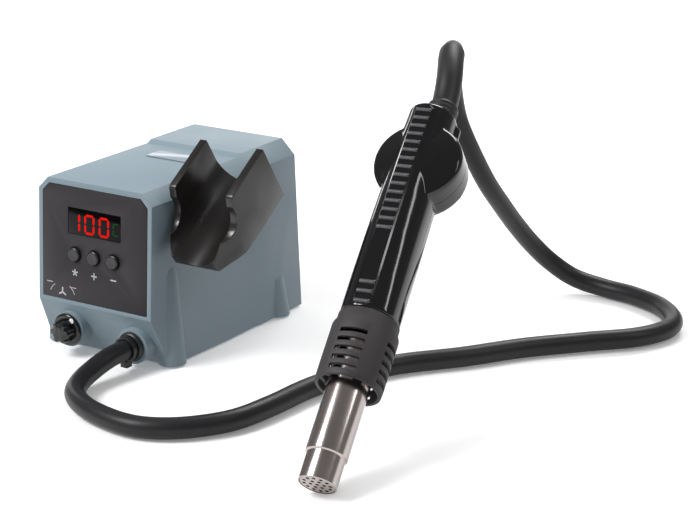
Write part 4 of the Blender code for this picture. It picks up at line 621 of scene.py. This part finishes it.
class STATION_OT_hose(bpy.types.Operator):
    """Run the air hose from the gland over the floor and up to the handset"""
    bl_idname = "station.hose"
    bl_label = "Hose"

    def execute(self, context):
        way = hose_way()
        form = swept(way, [HOSE_RADIUS] * len(way), 28)
        made = piece("hose_fine", form, FINISHES["hose_rubber"], None, None, ("hose",))
        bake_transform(made)
        return {"FINISHED"}


BOOT_REACH = 62 * MM  # along the hose, from its end inside the tail
BOOT_RADIUS = 7.9 * MM
COLLAR_PROUD, COLLAR_END, COLLAR_SLOPE = 1.5 * MM, 7.6 * MM, 0.35 * MM
GROOVE_PLACES = (2.6 * MM, 5.2 * MM)
GROOVE_DEPTH, GROOVE_WIDTH = 0.55 * MM, 0.45 * MM
LIP_DEPTH, LIP_START = 0.9 * MM, 0.96  # the boot thins over the last part of its length


class STATION_OT_boot(bpy.types.Operator):
    """Mould the bend boot that follows the hose out of the handle's tail"""
    bl_idname = "station.boot"
    bl_label = "Tail boot"

    def execute(self, context):
        way = hose_way()
        back = HANDSET.inverted()
        kept, left = [], BOOT_REACH
        for a, b in zip(reversed(way[:-1]), reversed(way[1:])):
            left -= (b - a).length
            if left < 0:
                break
            kept.append(back @ b)
        kept = [p for p in kept if p.z > HANDLE_END + 2 * MM]
        kept = smooth_way([Vector((TAIL_X, 0, HANDLE_END + 0.3 * MM))] + kept, 180)
        radii, gone = [], 0.0
        for i, place in enumerate(kept):
            gone += (place - kept[max(i - 1, 0)]).length
            collar = COLLAR_PROUD / (1 + math.exp((gone - COLLAR_END) / COLLAR_SLOPE))
            groove = GROOVE_DEPTH * sum(math.exp(-((gone - at) / GROOVE_WIDTH) ** 2) for at in GROOVE_PLACES)
            lip = LIP_DEPTH * max(0.0, (i / len(kept) - LIP_START) / (1 - LIP_START)) ** 2
            radii.append(BOOT_RADIUS + collar - groove - lip)
        piece("tail_boot_fine", swept(kept, radii, 40), FINISHES["boot_rubber"], "handset",
              HANDSET, ("tail_boot",), 60)
        return {"FINISHED"}


# ---------------------------------------------------------------- control unit


class STATION_OT_housing(bpy.types.Operator):
    """Mould the housing with rounded edges, and put the clear label on its lid"""
    bl_idname = "station.housing"
    bl_label = "Housing"

    def execute(self, context):
        refined("housing_shell", sizes().edge, FINISHES["housing_plastic"], 3, 20, 30)
        refined("top_label", 0.12 * MM, FINISHES["label_film"])
        return {"FINISHED"}


PANEL_PROUD = 0.15 * MM  # the front panel's face before the housing's
INK_LIFT = 0.03 * MM
ARC_POINTS = 9
DIGIT_HEIGHT = 54.1  # middle of the digits on the face, in millimetres
SYMBOL_HEIGHT = 21.3


def strokes(name, lines, width, finish):
    """Printed strokes on the front panel. Each is a run of points in millimetres."""
    form = bmesh.new()
    front = -PANEL_PROUD - INK_LIFT
    for line in lines:
        points = [Vector(p) * MM for p in line]
        left, right = [], []
        for i, p in enumerate(points):
            along = (points[min(i + 1, len(points) - 1)] - points[max(i - 1, 0)]).normalized()
            side = Vector((-along.y, along.x)) * width / 2
            left.append(p + side)
            right.append(p - side)
        slab([tuple(p) for p in left + right[::-1]], front, front + INK_LIFT * 0.9, form)
    return piece(name, form, finish, "station", FACE)


def arc_line(centre, radius, start, end):
    """Points along an arc between two angles in degrees."""
    return circle(radius, ARC_POINTS, centre, math.radians(start), math.radians(end - start))


# Each bar's place as shares of the digit's half-width and half-height, and whether it stands upright
SEGMENTS = {"a": (0, 1, 0), "b": (1, 0.5, 1), "c": (1, -0.5, 1), "d": (0, -1, 0), "e": (-1, -0.5, 1),
            "f": (-1, 0.5, 1)}
GLYPHS = {"1": "bc", "0": "abcdef", "C": "adef"}


def digit(form, glyph, centre, size, stroke):
    """The lit bars of one seven-segment digit."""
    half_w, half_h = size[0] / 2 - stroke / 2, size[1] / 2 - stroke / 2
    for bar in GLYPHS[glyph]:
        dx, dy, upright = SEGMENTS[bar]
        x, y = centre[0] + dx * half_w, centre[1] + dy * half_h
        reach = (half_h / 2 if upright else half_w) - 0.25  # leaves a fine gap between the bars
        h = stroke / 2
        flat = reach - h
        outline = [(-reach, 0), (-flat, h), (flat, h), (reach, 0), (flat, -h), (-flat, -h)]
        outline = [(v, u) for u, v in outline] if upright else outline
        slab([((x + u) * MM, (y + v) * MM) for u, v in outline], -0.05 * MM, -0.01 * MM, form)


def glow(name, code, strength):
    """Light-emitting bars seen through the lens: a glow a little uneven in tone."""
    made, tree, shader = begin(name)
    place = add(tree, "ShaderNodeTexCoord").outputs["Object"]
    cloud = add(tree, "ShaderNodeTexNoise", {"Vector": place, "Scale": 1 / (3 * MM)}).outputs["Fac"]
    colour = add(tree, "ShaderNodeMix", {0: cloud, 6: shade(code, 0.85), 7: shade(code, 1.15)},
                 data_type="RGBA").outputs[2]
    tree.links.new(colour, shader.inputs["Emission Color"])
    shader.inputs["Base Color"].default_value = linear("#060303")
    shader.inputs["Emission Strength"].default_value = strength
    shader.inputs["Specular IOR Level"].default_value = 0.0
    return made


class STATION_OT_front(bpy.types.Operator):
    """Fit the dark panel with its lens, digits and printed symbols"""
    bl_idname = "station.front"
    bl_label = "Front panel"

    def execute(self, context):
        refined("front_panel", 0.12 * MM, FINISHES["panel_print"])
        refined("display_window", 0.1 * MM, FINISHES["display_lens"])
        red = glow("digit light, red", colours().digits, 1.0)
        form = bmesh.new()
        for glyph, x in (("1", -15.5), ("0", -3.9), ("0", 7.7)):
            digit(form, glyph, (x, DIGIT_HEIGHT), (8.2, 12.9), 1.5)
        piece("digits_lit", form, red, "station", FACE)
        form = bmesh.new()
        digit(form, "C", (17.2, DIGIT_HEIGHT), (5.0, 8.2), 0.8)
        green = glow("unit light, dim green", "#1c6a2a", 0.6)
        piece("digit_unit", form, green, "station", FACE)
        # Screen-printed ink: flat pale grey, a little uneven.
        ink = finish_surface("ink, screen-printed", "#c3c6c9", 0.55, 0.6 * MM, 0.004 * MM, 0.08)
        x, y, arm = -15.4, SYMBOL_HEIGHT, 2.3
        star = [[(x, y), (x + arm * math.cos(a), y + arm * math.sin(a))]
                for a in (math.radians(90 + 72 * k) for k in range(5))]
        plus = [[(-2.2, y), (2.2, y)], [(0, y - 2.2), (0, y + 2.2)]]
        minus = [[(13.1, y), (17.7, y)]]
        strokes("button_symbols", star + plus + minus, 0.8 * MM, ink)
        sweep = [arc_line((-26, 2.5), 10.4, 124, 157), [(-38.5, 12.3), (-33.5, 12.3)]]
        sweep += [arc_line((-26, 2.5), 11, 56, 22), [(-18.5, 11), (-14.5, 11)]]
        strokes("airflow_arcs", sweep, 0.45 * MM, ink)
        x, y, arm = -25.6, 6.9, 3.2
        fan = [[(x, y), (x + arm * math.cos(a), y + arm * math.sin(a))]
               for a in (math.radians(90 + 120 * k) for k in range(3))]
        strokes("fan_symbol", fan, 1.0 * MM, ink)
        return {"FINISHED"}


class STATION_OT_buttons(bpy.types.Operator):
    """Turn the three round buttons"""
    bl_idname = "station.buttons"
    bl_label = "Buttons"

    def execute(self, context):
        r = BUTTON_RADIUS
        # A dished crown, a straight side, and a flange that keeps the button behind the panel
        profile = [(0, -2.2 * MM), (r * 0.5, -2.26 * MM), (r - 0.9 * MM, -2.4 * MM), (r, -1.7 * MM),
                   (r, 2.8 * MM), (r + 1 * MM, 2.8 * MM), (r + 1 * MM, 3.8 * MM), (0, 3.8 * MM)]
        for kind, x in (("mode", -BUTTON_PITCH), ("plus", 0.0), ("minus", BUTTON_PITCH)):
            form = turned(rounded(profile, 0.7 * MM), 56, "Y", (x, BUTTON_HEIGHT))
            node = f"button_{kind}"
            piece(f"{node}_fine", form, FINISHES["button_plastic"], body_of(node), FACE,
                  (node,), 50)
        return {"FINISHED"}


class STATION_OT_knob(bpy.types.Operator):
    """Shape the airflow knob: a round skirt, a fluted grip and a white dot"""
    bl_idname = "station.knob"
    bl_label = "Airflow knob"

    def execute(self, context):
        at = STATION @ Matrix.Translation((KNOB[0], 0, KNOB[1]))
        profile = in_mm([(6.4, -0.4), (10.7, -0.4), (10.7, -2.2), (9.7, -3.0), (0, -3.0), (0, -2.6),
                         (6.4, -2.6)])
        form = turned(rounded(profile[:5], 0.6 * MM) + profile[5:], 72, "Y")
        core, flute, flutes, edge, sides = 5.9, 1.5, 6, 3.2, 144
        rings = []
        for y, scale in ((-2.8, 1.06), (-3.4, 1.04), (-9.0, 0.98), (-9.7, 0.94), (-10.0, 0.86)):
            ring = []
            for i in range(sides):
                a = TURN * i / sides
                lobe = 0.5 + 0.5 * math.tanh(edge * math.cos(flutes * a)) / math.tanh(edge)
                r = (core + flute * lobe) * scale * MM
                ring.append(placed(r * math.cos(a), r * math.sin(a), y * MM, "Y"))
            rings.append(ring)
        loft(rings, form)
        piece("airflow_knob_fine", form, FINISHES["knob_plastic"], "knob", at,
              ("airflow_knob",), 40)
        # Brushed-on enamel in a shallow cup: white, clean and half-glossy.
        dot = finish_surface("dot paint, white", "#f2f2f0", 0.35, 0.8 * MM, 0.01 * MM, 0.03)
        profile = in_mm([(0, -3.16), (1.5, -3.12), (1.75, -3.0), (1.75, -2.9), (0, -2.9)])
        piece("knob_dot", turned(profile, 32, "Y", (5.1 * MM, 7.0 * MM)), dot, "knob", at)
        return {"FINISHED"}


class STATION_OT_gland(bpy.types.Operator):
    """Turn the hose gland and wrap the cable tie round the hose"""
    bl_idname = "station.gland"
    bl_label = "Gland and tie"

    def execute(self, context):
        at = STATION @ Matrix.Translation((GLAND[0], 0, GLAND[1]))
        profile = in_mm([(6.9, -3.4), (8.4, -3.4), (9.6, -2.2), (9.6, -0.3), (8.3, -0.3), (8.3, 21),
                         (6.9, 21)])
        form = turned(rounded(profile, 0.5 * MM), 72, "Y")
        piece("hose_gland_fine", form, FINISHES["gland_nylon"], "station", at, ("hose_gland",))
        refined("hose_tie", 0.2 * MM, FINISHES["tie_nylon"])
        return {"FINISHED"}


class STATION_OT_cradle(bpy.types.Operator):
    """Mould the handset cradle with rounded rims"""
    bl_idname = "station.cradle"
    bl_label = "Cradle"

    def execute(self, context):
        refined("holder_cradle", sizes().cradle_edge, FINISHES["holder_plastic"], 3, 25, 40)
        return {"FINISHED"}


class STATION_OT_rear(bpy.types.Operator):
    """Fit the rear panel, inlet, fuse holder, switch and base"""
    bl_idname = "station.rear"
    bl_label = "Rear and base"

    def execute(self, context):
        feet = [node for node in SLOTS if node.startswith("foot_")]
        edges = {"rear_panel": 0.3, "power_inlet": 0.4, "fuse_holder": 0.3, "switch_frame": 0.4,
                 "power_rocker": 0.4, "base_plate": 0.2, **dict.fromkeys(feet, 0.3)}
        for node, width in edges.items():
            refined(node, width * MM, FINISHES[SLOTS[node]])
        return {"FINISHED"}


# ---------------------------------------------------------------- handset


SMOOTHING = 15  # millimetres over which the grip's sections run into each other
OVAL_POINTS = 72
OVAL_POWER = 2.3  # 2 is an ellipse; more is squarer
GRIP_RINGS = 120
CROWN, CROWN_LENGTH = 2.0 * MM, 3 * MM  # the grip's rounded end at the tail
VOLUTE_RIM, VOLUTE_BAND, VOLUTE_SHOULDER, VOLUTE_DOME = 26.6 * MM, 9 * MM, 3.5 * MM, 17 * MM


def handle_sizes(place):
    """Half-width and half-depth of the grip at a place along the handset, smoothed between its sections."""
    fine = np.linspace(-10, 150, 161)
    rows = np.array(HANDLE_SECTIONS, float)
    kernel = np.hanning(SMOOTHING) / np.hanning(SMOOTHING).sum()
    found = []
    for column in (1, 2):
        values = np.interp(fine, rows[:, 0], rows[:, column])
        values = np.convolve(np.pad(values, SMOOTHING // 2, "edge"), kernel, "valid")
        found.append(float(np.interp((place - GRIP_START) / MM, fine, values)) * MM)
    return found


def oval(half_width, half_depth, along):
    ring = []
    for i in range(OVAL_POINTS):
        a = TURN * i / OVAL_POINTS
        c, s = math.cos(a), math.sin(a)
        ring.append((half_width * math.copysign(abs(c) ** (2 / OVAL_POWER), c),
                     half_depth * math.copysign(abs(s) ** (2 / OVAL_POWER), s), along))
    return ring


def grip_rings(inset=0.0):
    """The grip's sections from the guard to the tail, or those of its hollow, which starts before it."""
    rings = []
    start = GRIP_START - (4 * MM if inset else 0)
    end = HANDLE_END - inset
    for i in range(GRIP_RINGS + 1):
        along = start + (end - start) * i / GRIP_RINGS
        half_width, half_depth = handle_sizes(along)
        drawn = inset or CROWN * max(0.0, 1 - (end - along) / CROWN_LENGTH) ** 2
        rings.append(oval(half_width - drawn, half_depth - drawn, along))
    return rings


def volute_profile(inset=0.0):
    """The blower housing's section: a shallow dome, a rounded shoulder and a straight band."""
    rim, band, shoulder, dome = VOLUTE_RIM - inset, VOLUTE_BAND, VOLUTE_SHOULDER, VOLUTE_DOME - inset
    half = [(0, dome), (rim * 0.45, dome - 0.6 * MM), (rim - shoulder, band + shoulder - inset),
            (rim - shoulder * 0.3, band + shoulder * 0.7 - inset), (rim, band - inset)]
    return half + [(r, -y) for r, y in reversed(half)]


def plug(radius, low, high, sides, axis, centre):
    """A round tool for a Boolean on the handle."""
    profile = [(0, low), (radius, low), (radius, high), (0, high)]
    return guide(turned(profile, sides, axis, centre), HANDSET)


def volute(inset, sides):
    """A tool in the shape of the blower housing, or of the chamber inside it."""
    form = turned(volute_profile(inset), sides, "Y")
    bmesh.ops.translate(form, vec=(VOLUTE[0], 0, VOLUTE[1]), verts=form.verts)
    return guide(form, HANDSET)


class STATION_OT_handle(bpy.types.Operator):
    """Mould the glossy handle in two halves, with the blower housing blended into the grip"""
    bl_idname = "station.handle"
    bl_label = "Handle"

    def execute(self, context):
        whole = guide(loft(grip_rings()), HANDSET)
        disc = volute(0.0, 128)
        hanger = in_mm([(223.5, 2.6), (225, 3.6), (239, 3.6), (240.5, 2.6)])  # places and radii of the lug
        lug = guide(loft([[placed(u, v, z, "Z") for u, v in circle(r, 32, (13.4 * MM, 4 * MM))]
                          for z, r in hanger]), HANDSET)
        cut(whole, [disc, lug], "UNION")
        modifier = whole.modifiers.new("skin", "REMESH")
        modifier.mode = "VOXEL"
        modifier.voxel_size = 0.6 * MM
        cut(whole, [])
        form = bmesh.new()
        form.from_mesh(whole.data)
        for _ in range(8):
            bmesh.ops.smooth_vert(form, verts=form.verts, factor=0.5, use_axis_x=True, use_axis_y=True,
                                  use_axis_z=True)
        form.to_mesh(whole.data)
        form.free()
        hollow = guide(loft(grip_rings(HANDLE_WALL)), HANDSET)
        chamber = volute(HANDLE_WALL, 96)
        tail = plug(TAIL_BORE, HANDLE_END - 12 * MM, HANDLE_END + 4 * MM, 64, "Z", (TAIL_X, 0))
        cut(whole, [hollow, chamber, tail])
        for name, side in (("handle_front", -1), ("handle_back", 1)):
            form = bmesh.new()
            form.from_mesh(whole.data)
            geometry = form.verts[:] + form.edges[:] + form.faces[:]
            seam = (0, side * 0.15 * MM, 0)
            found = bmesh.ops.bisect_plane(form, geom=geometry, plane_co=seam, plane_no=(0, -side, 0),
                                           clear_outer=True)
            rim = [e for e in found["geom_cut"] if isinstance(e, bmesh.types.BMEdge)]
            bmesh.ops.triangle_fill(form, use_beauty=True, edges=rim)
            half = piece(f"{name}_fine", form, FINISHES["handle_plastic"], "handset",
                         HANDSET, (name,), 35)
            if side > 0:
                tools = [plug(13.3 * MM, 8 * MM, 21 * MM, 64, "Y", VOLUTE)]  # room for the intake grille
                for along in (22 * MM, 62 * MM):
                    place = GUARD_END + along
                    depth = handle_sizes(place)[1] - 1 * MM
                    tools.append(plug(3.5 * MM, depth - 6 * MM, depth + 8 * MM, 32, "Y", (0, place)))
                cut(half, tools)
                half.data.shade_smooth()
                half.data.set_sharp_from_angle(angle=math.radians(35))
        bpy.data.objects.remove(whole)
        return {"FINISHED"}


def front_of_grip(place):
    """Where the grip's front stands at a place along the handset."""
    return -handle_sizes(place)[1]


STRIP_LOW, STRIP_HIGH = 103.5 * MM, 241.5 * MM
STRIP_SHIFT = -1 * MM  # the strip stands a little left of the grip's middle
STRIP_HALF, STRIP_PROUD = 5.7 * MM, 0.5 * MM
STRIP_RINGS = 63
TOP_RIB, TOP_RIBS = 237.5 * MM, 15
LOW_RIBS = (117.7 * MM, 111.8 * MM, 105.6 * MM)
# A rib's places along the handle and its height there
RIB_SECTION = ((-1.2, 0.0), (-1.0, 0.4), (-0.55, 0.72), (0, 0.85), (0.55, 0.72), (1.0, 0.4), (1.2, 0.0))


class STATION_OT_strip(bpy.types.Operator):
    """Raise the ribbed strip on the handle's front"""
    bl_idname = "station.strip"
    bl_label = "Ribbed strip"

    def execute(self, context):
        gloss = FINISHES["handle_plastic"]
        rings = []
        for i in range(STRIP_RINGS + 1):
            place = STRIP_LOW + (STRIP_HIGH - STRIP_LOW) * i / STRIP_RINGS
            front = front_of_grip(place)
            near = min(place - STRIP_LOW, STRIP_HIGH - place)
            half = STRIP_HALF - 2.6 * MM * (1 - min(near / (3 * MM), 1.0)) ** 2
            proud = STRIP_PROUD * min(near / (0.8 * MM), 1.0)
            outline = [(-half, 2.6 * MM), (-half, 0.4 * MM - proud * 0.2), (-half + 0.9 * MM, -proud),
                       (half - 0.9 * MM, -proud), (half, 0.4 * MM - proud * 0.2), (half, 2.6 * MM)]
            rings.append([(u + STRIP_SHIFT, front + v, place) for u, v in outline])
        piece("handle_strip", loft(rings), gloss, "handset", HANDSET, (), 20)
        form = bmesh.new()
        half = sizes().rib_width / 2
        places = [TOP_RIB - k * sizes().rib_pitch for k in range(TOP_RIBS)] + list(LOW_RIBS)
        for place in places:
            depth = front_of_grip(place) - STRIP_PROUD
            rings = []
            for z, proud in in_mm(RIB_SECTION):
                right = [(half - MM, -proud), (half - 0.5 * MM, -proud), (half, -proud * 0.6),
                         (half, 0.6 * MM)]
                outline = [(-u, v) for u, v in reversed(right)] + right
                rings.append([(u + STRIP_SHIFT, depth + v, place + z) for u, v in outline])
            loft(rings, form)
        # The ribs take a lighter grey than the black handle they belong to: a painted highlight.
        piece("handle_ribs", form, FINISHES["rib_plastic"], "handset", HANDSET, (), 50)
        return {"FINISHED"}


class STATION_OT_hot_end(bpy.types.Operator):
    """Turn the stainless barrel and mould the slotted guard round it"""
    bl_idname = "station.hot_end"
    bl_label = "Barrel and guard"

    def execute(self, context):
        wall, length, step_low, step_high = 0.8 * MM, 118 * MM, 16.5 * MM, 17.3 * MM
        seat, wide = SEAT_RADIUS, BARREL_RADIUS
        outer = rounded([(seat - wall, 0), (seat, 0), (seat, step_low), (wide, step_high), (wide, length),
                         (wide - wall, length)], 0.35 * MM)
        inner = [(wide - wall, step_high + 0.4 * MM), (seat - wall, step_low + 0.4 * MM)]
        form = turned(outer + inner, 96)
        piece("nozzle_barrel_fine", form, FINISHES["barrel_steel"], "handset", HANDSET,
              ("nozzle_barrel",), 45)
        refined("heat_guard", 0.3 * MM, FINISHES["guard_nylon"], 2, 30, 35)
        refined("intake_grille", 0.25 * MM, FINISHES["grille_plastic"])
        return {"FINISHED"}


class STATION_OT_fittings(bpy.types.Operator):
    """Give the remaining CAD pieces their finishes"""
    bl_idname = "station.fittings"
    bl_label = "Fittings"

    def execute(self, context):
        for node, found in frame["nodes"].items():
            found.data.materials.clear()
            found.data.materials.append(FINISHES[SLOTS[node]])
        return {"FINISHED"}


OPERATORS = (STATION_OT_stage, STATION_OT_hose, STATION_OT_boot, STATION_OT_housing, STATION_OT_front,
             STATION_OT_buttons, STATION_OT_knob, STATION_OT_gland, STATION_OT_cradle, STATION_OT_rear,
             STATION_OT_handle, STATION_OT_strip, STATION_OT_hot_end, STATION_OT_fittings)


class STATION_PT_panel(bpy.types.Panel):
    """Lists the station's pieces, sizes and colours"""
    bl_idname = "STATION_PT_panel"
    bl_label = "Hot Air Station"
    bl_space_type = "VIEW_3D"
    bl_region_type = "UI"
    bl_category = "Hot Air Station"

    def draw(self, context):
        for group in (context.scene.station_colours, context.scene.station_sizes):
            for key in group.__annotations__:
                self.layout.prop(group, key)
        for operator in OPERATORS:
            self.layout.operator(operator.bl_idname)


CLASSES = (StationColours, StationSizes) + OPERATORS + (STATION_PT_panel,)


def register():
    for found in CLASSES:
        bpy.utils.register_class(found)
    bpy.types.Scene.station_colours = bpy.props.PointerProperty(type=StationColours)
    bpy.types.Scene.station_sizes = bpy.props.PointerProperty(type=StationSizes)


def unregister():
    del bpy.types.Scene.station_colours
    del bpy.types.Scene.station_sizes
    for found in reversed(CLASSES):
        bpy.utils.unregister_class(found)


def main():
    register()
    FINISHES.update(make_finishes(colours()))
    for operator in OPERATORS:
        group, name = operator.bl_idname.split(".")
        getattr(getattr(bpy.ops, group), name)()
    bpy.context.view_layer.update()


if __name__ == "__main__":
    main()
